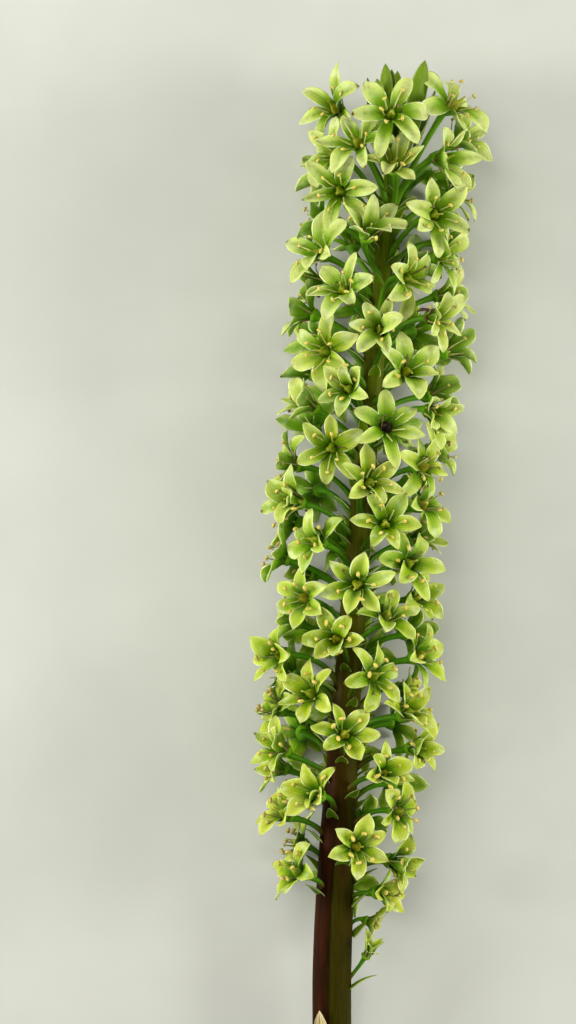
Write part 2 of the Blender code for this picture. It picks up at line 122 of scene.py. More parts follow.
# Settling, as in the solids.
SETTLE_STEPS = 150
GIVE = 0.16
TURN_GIVE = 0.14
MOST_TURN = 0.12
SPRING = 0.05
SETTLE_ALONG = np.array([4.5, 8.2, 11.4]) * MM
SETTLE_SIZES = np.array([2.1, 2.5, 1.8]) * MM
FLOOR_SIZES = np.array([0.6, 0.2, -0.3]) * MM
CENTRE_HEIGHT = 1.5 * MM
CENTRE_SIZE = 2.7 * MM
BACK_SIZE = 1.7 * MM
STEM_SHARE = 0.8
NEAR = 28.0 * MM
STALK_SIZES = np.array([1.2, 1.5, 1.5]) * MM
STALK_LOW = 0.6
COMA_GUARD = 2.2 * MM
NEVER_ZERO = 1e-9

# Coma: foot along the stem, half width, lean at the foot and at the tip (degrees), length of each leaf (mm).
COMA_WHORLS = (
    (411.5 * MM, 4.2 * MM, 27.0, 6.0, (33.0, 35.0, 34.0, 33.0, 41.0)),
    (416.0 * MM, 3.6 * MM, 17.0, 4.0, (33.5, 32.0, 30.0, 26.0)),
    (419.4 * MM, 2.7 * MM, 8.0, 3.0, (28.0, 29.0, 24.0)),
)
COMA_LEAVES = [(whorl, number) for whorl in COMA_WHORLS for number in range(len(whorl[-1]))]
COMA_TURN = 0.37
COMA_GAP = 0.3 * MM
COMA_THICKNESS = 0.9 * MM
COMA_STATIONS = np.array([0.0, 0.22, 0.5, 0.82, 1.0])
COMA_WIDTHS = np.array([0.36, 0.62, 1.0, 0.76, 0.0])
COMA_CHANNEL = 0.30

# From here on, detail that the solids leave out. Angles without a unit are in radians.
DETAIL_SEED = 31
FLOWER_TILT = 0.15  # how unevenly the flowers sit on their stalks
LOOK_UP = 0.36  # how much the flowers at the sides turn up to the light
CROWN_LOOK_UP = np.array([0.0, 0.0, 0.0, 0.2, 0.7, 0.0])  # the same, more, for the florets round the coma

# Flowers that have changed: the bud, a withered one, and places of dark centres in the row's frame.
BUD = 0
BUD_STRETCH = 1.45  # it is still opening: long narrow petals
BUD_WIDTH = 0.85
WITHERED_FLORET = 1
WITHERED = 0.3
WITHERED_DROOP = 0.5
WITHERED_WIDTH = 0.8
SPENT_CENTRES = np.array([[7.8, 90.9]]) * MM
SPOILT_CENTRES = np.array([[14.8, 136.4], [-5.9, 158.8], [34.1, 121.3], [25.7, 111.5], [-13.6, 109.8]]) * MM
MORE_SPOILT = 6
UPPER_SIDE = 20.0 * MM

# What changes along the head at these distances from the cut end. The bracts have distances of their own.
HEAD_AT = np.array([200.0, 320.0, 390.0]) * MM
PETAL_STRETCH = np.array([0.98, 1.05, 1.20])  # a curved petal is longer than the straight one it stands for
PETAL_HALF_WIDTH = np.array([3.2, 3.1, 2.95]) * MM
PETAL_POINT = np.array([0.22, 0.12, 0.0])  # the lower petals have sharper tips
STAMEN_STRETCH = np.array([0.84, 0.92, 1.0])
ANTHER_SIZE = np.array([1.25, 1.1, 1.0])
LOW_BRACTS = np.array([165.0, 200.0]) * MM
LOW_BRACTS_SIZE = (1.3, 1.0)

# Petals.
PETAL_ROWS = 11
PETAL_ACROSS = np.array([-1.0, -0.86, -0.45, 0.0, 0.45, 0.86, 1.0])
PETAL_THICKNESS = 0.27 * MM
PETAL_INNER = 0.3 * MM  # how much further ahead the inner three stand, and how much more half their width is
PETAL_CURL = (1.15, 0.50)
PETAL_STRAIGHT_AT = 0.45
PETAL_HOOD = (0.0, 0.8)
PETAL_HOOD_FROM = 0.70
PETAL_SLOPE_SPREAD = 0.20
FLOWER_SLOPE_SPREAD = 0.18
PETAL_FOOT_WIDTH = 0.46
PETAL_BROADEST = 0.50
PETAL_BLUNT = (0.48, 0.96)
PETAL_WIDTH_RANGE = (0.80, 1.14)
PETAL_TIP_WIDTH = 0.012
PETAL_CHANNEL = (0.18, 0.62)
PETAL_RIPPLE = 0.44 * MM
PETAL_RIPPLES = 1.45
PETAL_TWIST = 0.42
PETAL_SWAY = 0.09

# Ovaries: at each height the radius, and the share of it that the furrows between the lobes take away.
OVARY_HEIGHT = np.array([-0.6, 0.2, 1.1, 2.1, 3.0, 3.8, 4.3, 4.7, 5.6, 6.6, 7.3, 7.5]) * MM
OVARY_RADIUS = np.array([1.5, 2.0, 2.2, 2.1, 1.8, 1.35, 0.9, 0.55, 0.38, 0.32, 0.36, 0.1]) * MM
OVARY_FURROW = np.array([0.0, 0.22, 0.36, 0.40, 0.42, 0.42, 0.3, 0.0, 0.0, 0.0, 0.2, 0.0])
OVARY_SIDES = 18
STYLE_FROM = 3.8 * MM
STYLE_LEAN = 0.10

# Stamens, with ranges in mm. A stamen's fate is a number from 0 to 1.35, higher in an old floret.
STAMEN_POINTS = 7
STAMEN_LENGTH = (7.2, 9.2)
STAMEN_TURN_SPREAD = 0.08
STAMEN_FOOT = 2.1 * MM
STAMEN_FOOT_HEIGHT = 0.9 * MM
STAMEN_LEAN = (0.50, 0.11)
STAMEN_BEND = (0.15, 0.25)
SHRIVELLED_FATE = 1.08
SHRIVELLED_LENGTH = 0.85
SHRIVELLED_WIDTH = 0.75
SHRIVELLED_BENDS = [-1.9, 1.6]
FILAMENT_RADIUS = np.array([0.50, 0.30, 0.17]) * MM
ANTHER_KEPT_FATE = 1.00
ANTHER_KEPT = 0.55
ANTHER_HALF = (0.65, 1.0)
ANTHER_RADIUS = np.array([0.26, 0.48, 0.54, 0.54, 0.48, 0.26]) * MM
ANTHER_BOW = 0.25 * MM
OLD_ANTHER = 0.7

# Stalks: radius along them and over the cup behind the flower, whose rings are at these heights (mm).
STALK_POINTS = 10
STALK_RADIUS = np.array([1.5, 1.25, 1.02, 0.95, 0.92, 0.92, 0.94, 0.98, 1.06, 1.2, 1.7, 2.3, 2.75, 2.2]) * MM
CUP_AT = (-1.5, -0.6, 0.35, 0.9)
SLIMMEST = 0.7

# Small bracts on the stem, with ranges in mm.
BRACT_ROWS = 7
BRACT_ACROSS = np.array([-1.0, -0.8, -0.4, 0.0, 0.4, 0.8, 1.0])
BRACT_THICKNESS = 0.16 * MM
BRACT_LENGTH = (5.4, 7.6)
BRACT_HALF_WIDTH = (2.1, 2.7)
BRACT_LIFT = 0.35
BRACT_CUP = 0.35
BRACT_BELOW = 2.2 * MM
BRACT_DEPTH = 0.4 * MM
DRY_BRACT_AT = 113.0 * MM
DRY_BRACT_TURN = math.radians(118.0)
DRY_BRACT_DEPTH = 0.3 * MM
DRY_BRACT_SIZE = (6.5 * MM, 2.7 * MM)
DRY_BRACT_ROWS = 9
DRY_BRACT_LIFT = 0.2
DRY_BRACT_CUP = 0.6

# Withered shreds in the spoilt centres.
SHREDS_EACH = 4
SHRED_START = 1.5 * MM
SHRED_STEP = 0.8 * MM
SHRED_FIRST_STEP = 0.85 * MM
SHRED_RADIUS = np.array([0.5, 0.7, 0.9, 0.8, 0.6, 0.75, 0.6, 0.4, 0.15]) * MM

# Stem in detail: its grid, how far its ribs and swellings stand out, its groove and the rings of its cut.
STEM_SIDES = 72
STEM_RINGS = 210
STEM_SLIMMER = 0.992
STEM_RIBS = 0.05 * MM
STEM_FINE_RIBS = 0.035 * MM
STEM_SWELLINGS = 0.08 * MM
GROOVE_TURN = math.radians(102.0)
GROOVE_WIDTH = 0.16
GROOVE_DEPTH = 0.55 * MM
GROOVE_FADES = (0.50, 0.36)  # shares of the stem's length: none above the first, whole below the second
CUT_RINGS = (0.97, 0.88, 0.72, 0.5, 0.25)
CUT_ROUGHNESS = 0.05 * MM
CUT_HOLLOW = 0.12 * MM
CUT_MIDDLE = 0.1 * MM

# Leaves of the coma in detail.
COMA_ROWS = 25
COMA_ACROSS = np.array([-1.0, -0.93, -0.65, -0.33, 0.0, 0.33, 0.65, 0.93, 1.0])
COMA_SMOOTHING = [0.1, 0.2, 0.4, 0.2, 0.1]
COMA_TIP_FROM = 0.60
COMA_TIP_WIDTH = 0.015
COMA_WAVE = 0.3 * MM
COMA_WAVES = 2.2
COMA_BLADE_THICKNESS = 0.32 * MM


# Arithmetic


def unit(vectors):
    return vectors / np.linalg.norm(vectors, axis=-1, keepdims=True)


def around(count):
    """Equal steps of angle round a circle."""
    return np.arange(count) * 2.0 * math.pi / count


def turned(first, second, turn):
    """A vector turned by an angle from a first direction towards a second one, square to it."""
    turn = np.asarray(turn)[..., None]
    return first * np.cos(turn) + second * np.sin(turn)


def smoothstep(low, high, value):
    share = np.clip((np.asarray(value, float) - low) / (high - low), 0.0, 1.0)
    return share * share * (3.0 - 2.0 * share)


def stem_point(along):
    """The stem's centre line, at distances along Y from the cut end."""
    along = np.asarray(along, float)
    head = np.clip((along - BARE_LENGTH) / (STEM_LENGTH - BARE_LENGTH), 0.0, None)
    arch = 1.0 - np.clip(1.0 - along / STEM_LENGTH, 0.0, 1.0) ** ARCH_POWER
    height = FOOT_HEIGHT + (HEAD_HEIGHT - FOOT_HEIGHT) * arch
    return np.stack([HEAD_LEAN * head**LEAN_POWER, along, height], axis=-1)


def stem_radius(along):
    return np.interp(along, STEM_TAPER_AT, STEM_TAPER_RADIUS)


def stem_frame(along):
    """Unit vectors along the stem, to its side and up from it."""
    step = 1.0 * MM
    forward = unit(stem_point(np.asarray(along) + step) - stem_point(np.asarray(along) - step))
    side = unit(np.cross(forward, AHEAD))
    return forward, side, np.cross(side, forward)


def outwards(along, turn):
    """Unit vector from the stem's centre line, at an angle round it: 0 is +X, 90 degrees is up."""
    _, side, up = stem_frame(along)
    return turned(side, up, turn)


def leaf_foot(at, turn, gap):
    """A point off the stem's side, and unit vectors out from the stem, along it and square to both."""
    outward, (forward, _, _) = outwards(at, turn), stem_frame(at)
    return stem_point(at) + outward * (stem_radius(at) + gap), outward, forward, np.cross(forward, outward)


# Where each floret sits, by the same rule as the solids


def floret_targets():
    random = np.random.default_rng(SEED)
    strays, crown = len(STRAY_AT), len(CROWN_TURN)
    number = np.arange(FLORETS) - strays
    share = np.clip(number / number[-1], 0.0, 1.0)
    along = np.interp(share, SPIRAL_SHARE, SPIRAL_AT)
    along[:strays] = STRAY_AT
    turn = FIRST_TURN + TURN_EACH * number + random.normal(0.0, TURN_SPREAD, FLORETS)
    turn[:strays] = STRAY_TURN
    turn[-crown:] = CROWN_TURN
    growth = random.uniform(1.0 - GROWTH_SPREAD, 1.0 + GROWTH_SPREAD, FLORETS)
    growth[:strays] = STRAY_GROWTH
    reach = REACH + REACH_SPREAD * random.uniform(-1.0, 1.0, FLORETS)
    reach *= np.interp(along, REACH_FROM, REACH_SHARE)
    reach[:strays] = STRAY_REACH
    reach[-crown:] = CROWN_REACH
    rise = np.interp(share, RISE_AT, RISE)
    rise[:strays] = STRAY_RISE
    rise[-crown:] = CROWN_RISE
    outward = outwards(along, turn)
    forward, _, _ = stem_frame(along)
    look = np.interp(share, RISE_AT, FACE_UP) + FACE_SPREAD * random.normal(0.0, 1.0, FLORETS)
    look[:strays] = STRAY_LOOK
    look[-crown:] = CROWN_LOOK
    wander = np.cross(forward, outward) * random.normal(0.0, FACE_WANDER, FLORETS)[:, None]
    facing = unit(turned(outward, forward, look) + wander)
    spin = random.uniform(0.0, 2.0 * math.pi / TEPALS, FLORETS)
    across = unit(np.cross(facing, forward))
    return {
        "growth": growth,
        "foot": stem_point(along) + outward * stem_radius(along)[:, None],
        "outward": outward,
        "forward": forward,
        "centre": stem_point(along) + outward * reach[:, None] + forward * rise[:, None],
        "facing": facing,
        "right": turned(across, np.cross(facing, across), spin),
        "opening": TEPAL_OPENING + random.normal(0.0, TEPAL_OPENING_SPREAD, (FLORETS, TEPALS)),
        "length": TEPAL_LENGTH * random.uniform(*TEPAL_LENGTH_RANGE, (FLORETS, TEPALS)),
    }


def spokes():
    """For each petal, the unit vector out along it and the one across it, square to the floret's axis."""
    cosine, sine, none = np.cos(around(TEPALS)), np.sin(around(TEPALS)), np.zeros(TEPALS)
    return np.stack([cosine, sine, none], axis=1), np.stack([-sine, cosine, none], axis=1)


def feelers():
    """Points of a full-grown floret, in its own frame, that keep their distance, with their sizes."""
    rim, _ = spokes()
    slope = math.sin(TEPAL_OPENING) * rim + math.cos(TEPAL_OPENING) * AHEAD
    petals = TEPAL_FOOT * rim[:, None] + SETTLE_ALONG[None, :, None] * slope[:, None]
    points = np.concatenate([petals.reshape(-1, 3), [CENTRE_HEIGHT * AHEAD, -NECK_DEPTH * AHEAD]])
    sizes = np.concatenate([np.tile(SETTLE_SIZES, TEPALS), [CENTRE_SIZE, BACK_SIZE]])
    floor = np.concatenate([np.tile(FLOOR_SIZES, TEPALS), [CENTRE_SIZE, BACK_SIZE]])
    return points, sizes, floor


def coma_turn(whorl, number):
    return 2.0 * math.pi * (number / len(whorl[-1]) + COMA_TURN)


def coma_rows(whorl, number):
    """The solids' rows of three corners across the front of one leaf of the coma."""
    at, half_width, lean_foot, lean_tip, lengths = whorl
    point, outward, forward, aside = leaf_foot(at, coma_turn(whorl, number), COMA_GAP)
    length = lengths[number] * MM
    rows = []
    reached = 0.0
    for share, width in zip(COMA_STATIONS[:-1], COMA_WIDTHS[:-1]):
        lean = math.radians(lean_foot + (lean_tip - lean_foot) * (share + reached) / 2.0)
        point = point + length * (share - reached) * turned(forward, outward, lean)
        reached = share
        inwards = forward * math.sin(lean) - outward * math.cos(lean)
        edge = aside * half_width * width
        raised = inwards * half_width * width * COMA_CHANNEL
        rows.append([point - edge + raised, point, point + edge + raised])
    return rows


def coma_guard():
    """Points of the coma's leaves that the florets keep clear of."""
    rows = np.array([coma_rows(whorl, number) for whorl, number in COMA_LEAVES])
    halfway = (rows[:, :-1] + rows[:, 1:]) / 2.0
    return np.concatenate([rows.reshape(-1, 3), halfway.reshape(-1, 3)])


def stalk_lines(florets, centre, facing):
    """Each stalk's foot inside the stem, its middle and its neck behind the floret."""
    outward, forward = florets["outward"], florets["forward"]
    neck = centre - facing * NECK_DEPTH * florets["growth"][:, None]
    root = florets["foot"] - outward * ROOT_DEPTH
    leave = turned(outward, forward, STALK_START_SLOPE)
    bow = STALK_BOW * np.linalg.norm(neck - root, axis=1, keepdims=True)
    return root, (root + neck) / 2.0 + bow * (leave - facing), neck


def shoves(between, wanted):
    """What lengthens each vector between two points until it is as long as wanted."""
    apart = np.linalg.norm(between, axis=-1) + NEVER_ZERO
    return between * (np.clip(wanted - apart, 0.0, None) / apart)[..., None]


def push_apart(push, places, room, centre):
    """Florets near each other share the way that each pair of points has to give."""
    gaps = np.linalg.norm(centre[:, None] - centre[None], axis=2)
    first, second = np.nonzero(np.triu(gaps < NEAR, 1))
    between = places[first][:, :, None] - places[second][:, None]
    shove = 0.5 * shoves(between, room[first][:, :, None] + room[second][:, None])
    np.add.at(push, first, shove.sum(axis=2))
    np.add.at(push, second, -shove.sum(axis=1))


def push_off_coma(push, places, room, guard, near):
    """The florets that are near the coma's leaves give way to them."""
    between = places[near][:, :, None] - guard
    push[near] += shoves(between, room[near][:, :, None] + COMA_GUARD).sum(axis=2)


def push_off_stem(push, rigid, sizes):
    """The flowers' own points give way to the stem."""
    along = np.clip(rigid[..., 1], 0.0, STEM_LENGTH)
    away = rigid - stem_point(along)
    away[..., 1] = 0.0
    push[:, : len(sizes)] += shoves(away, stem_radius(along) + sizes * STEM_SHARE)


def square_to(facing, right):
    return unit(right - facing * np.sum(right * facing, axis=1, keepdims=True))


def frames(facing, right):
    """Each floret's own directions, one in a row: right, upright and facing."""
    return np.stack([right, np.cross(facing, right), facing], axis=1)


def settled_florets():
    """The florets after they have pushed each other, the stem, the coma and the surface clear."""
    florets = floret_targets()
    points, sizes, floor = feelers()
    guard = coma_guard()
    near_guard = florets["centre"][:, 1] > guard[:, 1].min() - NEAR
    growth = florets["growth"][:, None, None]
    room = np.concatenate([sizes * florets["growth"][:, None], np.tile(STALK_SIZES, (FLORETS, 1))], 1)
    clear = np.concatenate([floor, STALK_SIZES])
    centre, facing, right = (florets[key].copy() for key in ("centre", "facing", "right"))
    for step in range(SETTLE_STEPS):
        pull = SPRING * (1.0 - step / SETTLE_STEPS)
        arms = np.einsum("nji,pj->npi", frames(facing, right), points) * growth
        rigid = centre[:, None] + arms
        root, middle, neck = stalk_lines(florets, centre, facing)
        stalk = np.stack([root + STALK_LOW * (middle - root), middle, (middle + neck) / 2.0], axis=1)
        places = np.concatenate([rigid, stalk], axis=1)
        push = np.zeros_like(places)
        push_apart(push, places, room, centre)
        push[..., 2] += np.clip(clear - places[..., 2], 0.0, None)
        push_off_coma(push, places, room, guard, near_guard)
        push_off_stem(push, rigid, sizes)
        centre += push.sum(axis=1) * GIVE
        turn = np.cross(arms, push[:, : len(points)]).sum(axis=1) * (TURN_GIVE / TEPAL_LENGTH**2)
        size = np.linalg.norm(turn, axis=1, keepdims=True) + NEVER_ZERO
        turn *= np.minimum(size, MOST_TURN) / size
        facing = unit(facing + np.cross(turn, facing))
        right = right + np.cross(turn, right)
        centre += pull * (florets["centre"] - centre)
        facing = unit(facing + pull * (florets["facing"] - facing))
        right = square_to(facing, right)
    florets["opening"][: len(STRAY_OPENING)] *= STRAY_OPENING[:, None]
    florets.update(centre=centre, axes=frames(facing, right), line=stalk_lines(florets, centre, facing))
    florets["flower"] = centre + AHEAD * lift(florets)[:, None]
    return florets


def lift(florets):
    """How far each flower is lifted so that its lowest corner rests on the surface."""
    rim, aside = spokes()
    sine, cosine = np.sin(florets["opening"])[..., None], np.cos(florets["opening"])[..., None]
    slope = sine * rim + cosine * AHEAD
    above = sine * AHEAD - cosine * rim
    foot = TEPAL_FOOT * rim + TEPAL_FOOT_HEIGHT * AHEAD
    length = florets["length"][..., None]
    widest = foot + TEPAL_WIDEST * length * slope
    half = TEPAL_HALF_WIDTH * aside
    under = widest - TEPAL_THICKNESS * above
    corners = np.stack([foot + length * slope, widest - half, widest + half, under], 2)
    up = np.einsum("fpcj,fj->fpc", corners, florets["axes"][:, :, 2]) * florets["growth"][:, None, None]
    return np.clip(-(up + florets["centre"][:, 2, None, None]).min(axis=(1, 2)), 0.0, None)


# How each floret looks


def nearest(florets, places):
    """The floret on the upper side that lies nearest each place, seen from above."""
    seen = florets["flower"] - ORIGIN
    away = np.linalg.norm(seen[:, None, :2] - places, axis=2)
    return np.argmin(away + (seen[:, 2:] < UPPER_SIDE), axis=0)


def dressed_florets():
    """The florets with the looks of each: tint, age, and which have withered, spent or spoilt centres."""
    florets = settled_florets()
    random = np.random.default_rng(DETAIL_SEED)
    tilt = random.normal(0.0, FLOWER_TILT, (FLORETS, 2, 1))
    right, upright, facing = (florets["axes"][:, axis] for axis in range(3))
    beside = smoothstep(-0.7, -0.2, facing[:, 2:]) * smoothstep(0.8, 0.3, facing[:, 2:])
    facing = unit(facing + tilt[:, 0] * right + tilt[:, 1] * upright + LOOK_UP * beside * AHEAD)
    facing[-len(CROWN_LOOK_UP) :] += CROWN_LOOK_UP[:, None] * AHEAD
    facing = unit(facing)
    florets.update(facing=facing, axes=frames(facing, square_to(facing, right)))
    florets["tint"] = random.uniform(0.0, 1.0, FLORETS)
    florets["age"] = random.uniform(0.0, 1.0, FLORETS)
    for kind in ("withered", "spent", "spoilt"):
        florets[kind] = np.zeros(FLORETS)
    florets["withered"][WITHERED_FLORET] = WITHERED
    florets["spent"][nearest(florets, SPENT_CENTRES)] = 1.0
    florets["spoilt"][nearest(florets, SPOILT_CENTRES)] = 1.0
    below_crown = FLORETS - len(CROWN_TURN)
    florets["spoilt"][random.choice(below_crown, MORE_SPOILT, replace=False)] = 1.0
    return florets


def in_florets(florets, right, upright, forward):
    """Points given along the florets' own directions, (florets, ...), put in the world."""
    local = np.stack(np.broadcast_arrays(right, upright, forward), axis=-1)
    flat = local.reshape(FLORETS, -1, 3)
    world = np.einsum("fpj,fji->fpi", flat, florets["axes"]) * florets["growth"][:, None, None]
    return (world + florets["flower"][:, None]).reshape(local.shape)


# Mesh building


def grid_faces(rows, columns, closed=False):
    """Quads over a grid of points stored row by row; closed joins the last column to the first."""
    wide = columns if closed else columns - 1
    row, column = np.meshgrid(np.arange(rows - 1), np.arange(wide), indexing="ij")
    after = (column + 1) % columns
    here, over = row * columns, row * columns + columns
    return np.stack([here + column, here + after, over + after, over + column], -1).reshape(-1, 4)


def petal_points(florets, out, aside, ahead, turns):
    """Points that stand out from the florets' axes at angles round them, put in the world."""
    cosine, sine = np.cos(turns), np.sin(turns)
    return in_florets(florets, out * cosine - aside * sine, out * sine + aside * cosine, ahead)


def repeated(count, size, *kinds):
    """The same faces, of one kind after another, for each of a number of equal meshes stored in a row."""
    firsts = size * np.arange(count)[:, None, None]
    return [face for faces in kinds for face in (faces + firsts).reshape(-1, faces.shape[1]).tolist()]


def on_surface(corners):
    """Eases whatever would reach under the surface to lie flat on it."""
    soft = 1.0 * MM
    height = corners[..., 2]
    eased = soft * np.exp(np.minimum(height / soft - 1.0, 0.0))
    corners[..., 2] = np.where(height < soft, eased, height)
    return corners


def add(name, data):
    made = bpy.data.objects.new(name, data)
    bpy.context.scene.collection.objects.link(made)
    return made


def piece(name, corners, faces, finishes, place, nature=None, finish_of=None):
    """A smooth mesh object in the row's frame. place and nature are shared with its material."""
    mesh = bpy.data.meshes.new(name)
    mesh.from_pydata((on_surface(corners.reshape(-1, 3).copy()) - ORIGIN).tolist(), [], faces)
    for finish in finishes:
        mesh.materials.append(finish)
    if finish_of is not None:
        mesh.polygons.foreach_set("material_index", finish_of)
    for key, values in (("place", place), ("nature", nature)):
        if values is not None:
            colours = np.ones((len(mesh.vertices), 4), np.float32)
            colours[:, :3] = np.broadcast_to(values, corners.shape).reshape(-1, 3)
            mesh.attributes.new(key, "FLOAT_COLOR", "POINT").data.foreach_set("color", colours.ravel())
    mesh.shade_smooth()
    mesh.update()
    made = add(name, mesh)
    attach(made, "root")
    return made


def stem_piece(name, corners, faces, finishes, place, **more):
    """A piece of all that grew as one with the stem, shown instead of its solid."""
    made = piece(name, corners, faces, finishes, place, **more)
    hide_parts("flower_stem")


def tubes(paths, radii, sides):
    """Round tubes along paths (tubes, points, 3), a radius at each point: corners, faces, share along."""
    count, points = radii.shape
    ahead = unit(np.gradient(paths, axis=1))
    helper = np.where(np.abs(ahead[:, :1, 2:3]) < 0.8, [[[0.0, 0.0, 1.0]]], [[[1.0, 0.0, 0.0]]])
    across = unit(np.cross(ahead, np.broadcast_to(helper, ahead.shape)))
    over = np.cross(ahead, across)
    ring = turned(across[:, :, None], over[:, :, None], around(sides))
    corners = paths[:, :, None] + ring * radii[:, :, None, None]
    size = points * sides
    ends = np.array([np.arange(sides), np.arange(size - 1, size - sides - 1, -1)])
    faces = repeated(count, size, grid_faces(points, sides, closed=True)[:, ::-1], ends)
    return corners, faces, np.linspace(0.0, 1.0, points)[:, None]


def for_each(along, first, second):
    """What a material reads of tubes: the share along them, and two numbers of each tube's own."""
    return np.stack(np.broadcast_arrays(along, first[:, None, None], second[:, None, None]), axis=-1)


def walked(slopes, step):
    """How far a line comes out and ahead at each of its points, when each step leans by its own slope."""
    start = np.zeros(slopes.shape[:-1] + (1,))
    ways = (step * np.sin(slopes), step * np.cos(slopes))
    return [np.concatenate([start, np.cumsum(way, axis=-1)], axis=-1) for way in ways]


def closed_blades(aside, raised, thick, laid):
    """Corners of thin closed blades: the front's grid, then the back's without its two edge columns.

    laid turns distances to the side and above the blade's middle into points.
    """
    front = laid(aside, raised + thick)
    back = laid(aside[..., 1:-1], (raised - thick)[..., 1:-1])
    grids = [side.reshape(-1, side.shape[-3] * side.shape[-2], 3) for side in (front, back)]
    return np.concatenate(grids, axis=1)


def flat_blade(line, aside, above, reach, raised, thick):
    """One closed blade along a line, spread along aside and raised along above."""

    def laid(side, height):
        return line[:, None] + side[..., None] * aside + height[..., None] * above

    return closed_blades(reach, raised, thick, laid)


def blade_faces(rows, wide):
    """Quads over a closed blade's front and back, and the faces that close its foot and its tip."""
    front = np.arange(rows * wide).reshape(rows, wide)
    back = front.size + np.arange(rows * (wide - 2)).reshape(rows, wide - 2)
    back = np.concatenate([front[:, :1], back, front[:, -1:]], axis=1)
    quads = grid_faces(rows, wide)
    faces = np.concatenate([front.ravel()[quads], back.ravel()[quads][:, ::-1]])
    foot = np.concatenate([front[0][::-1], back[0][1:-1]])
    return faces, foot, np.concatenate([front[-1], back[-1][-2:0:-1]])


def blade_place(share, across):
    """For each corner of a closed blade, its share along it and across it, and 1 on the back."""
    sides = []
    for columns, back in ((across, 0.0), (across[1:-1], 1.0)):
        along, aside = np.meshgrid(share, (columns + 1.0) / 2.0, indexing="ij")
        sides.append(np.stack([along, aside, np.full_like(along, back)], axis=-1).reshape(-1, 3))
    return np.concatenate(sides)


# Materials


def shade(red, green, blue):
    """A colour as a screen shows it, 0 to 255, turned into light."""
    parts = (part / 255.0 for part in (red, green, blue))
    light = [part / 12.92 if part <= 0.0404 else ((part + 0.055) / 1.055) ** 2.4 for part in parts]
    return (*light, 1.0)


class Finish:
    """A node material with short names for the nodes that the finishes share."""

    def __init__(self, name, roughness, **constants):
        self.material = bpy.data.materials.new(name)
        self.material.use_nodes = True
        self.tree = self.material.node_tree
        self.shader = self.tree.nodes["Principled BSDF"]
        self.shader.inputs["Roughness"].default_value = roughness
        for key, value in constants.items():
            self.shader.inputs[key.replace("_", " ")].default_value = value

    def node(self, kind, inputs=(), **settings):
        made = self.tree.nodes.new(kind)
        for key, value in settings.items():
            setattr(made, key, value)
        for socket, value in inputs:
            if isinstance(value, bpy.types.NodeSocket):
                self.tree.links.new(value, made.inputs[socket])
            else:
                made.inputs[socket].default_value = value
        return made

    def shared(self, name):
        """The three values of a mesh attribute."""
        colour = self.node("ShaderNodeAttribute", attribute_name=name).outputs["Color"]
        return self.node("ShaderNodeSeparateColor", [(0, colour)]).outputs[:3]

    def maths(self, operation, first, second=0.0):
        return self.node("ShaderNodeMath", [(0, first), (1, second)], operation=operation).outputs[0]

    def times(self, first, second):
        return self.maths("MULTIPLY", first, second)

    def gap(self, value, mark):
        """How far a value is from a mark, either way."""
        return self.maths("ABSOLUTE", self.maths("SUBTRACT", value, mark))

    def to_edge(self, across):
        """0 along a blade's middle, 1 at both its edges."""
        return self.times(self.gap(across, 0.5), 2.0)

    def veins(self, across, lines):
        """Fine lengthwise veins: 1 on a vein, 0 between."""
        return self.fade(self.maths("SINE", self.times(across, lines * 2.0 * math.pi)), 0.45, 1.0)

    def fade(self, value, low, high, to_low=0.0, to_high=1.0):
        """A smooth step from one value to another as the input goes from low to high."""
        inputs = [(0, value), (1, low), (2, high), (3, to_low), (4, to_high)]
        return self.node("ShaderNodeMapRange", inputs, interpolation_type="SMOOTHSTEP").outputs[0]

    def mix(self, factor, first, second):
        inputs = [(0, factor), (6, first), (7, second)]
        return self.node("ShaderNodeMix", inputs, data_type="RGBA").outputs[2]

    def layered(self, colour, *layers):
        """A colour with others laid over it, each as far as its mask says."""
        for mask, over in layers:
            colour = self.mix(mask, colour, shade(*over) if isinstance(over, tuple) else over)
        return colour

    def noise(self, size, detail=2.0, stretch=(1.0, 1.0, 1.0)):
        """Noise whose features are about size metres across in the object's own frame."""
        place = self.node("ShaderNodeTexCoord").outputs["Object"]
        scaled = self.node("ShaderNodeMapping", [(0, place), (3, stretch)]).outputs[0]
        inputs = [("Vector", scaled), ("Scale", 1.0 / size), ("Detail", detail)]
        return self.node("ShaderNodeTexNoise", inputs).outputs[0]

    def height_in_head(self):
        """Distance along Y in the row's frame, from the cut end towards the coma."""
        place = self.node("ShaderNodeTexCoord").outputs["Object"]
        return self.node("ShaderNodeSeparateXYZ", [(0, place)]).outputs["Y"]

    def ramp(self, value, *stops):
        """Colours along a value. Each stop is a place and a colour, and the two outermost come first."""
        made = self.node("ShaderNodeValToRGB", [(0, value)])
        marks = made.color_ramp.elements
        for number, (at, *colour) in enumerate(stops):
            mark = marks[number] if number < 2 else marks.new(at)
            mark.position = at
            mark.color = shade(*colour)
        return made.outputs[0]

    def finished(self, colour, relief=None, depth=0.0, roughness=None):
        """The material, once its colour, its relief and its roughness are linked to the shader."""
        values = {"Base Color": colour, "Roughness": roughness}
        if relief is not None:
            bump = self.node("ShaderNodeBump", [("Height", relief), ("Distance", depth)])
            values["Normal"] = bump.outputs[0]
        for name, value in values.items():
            if value is not None:
                self.tree.links.new(value, self.shader.inputs[name])
        return self.material


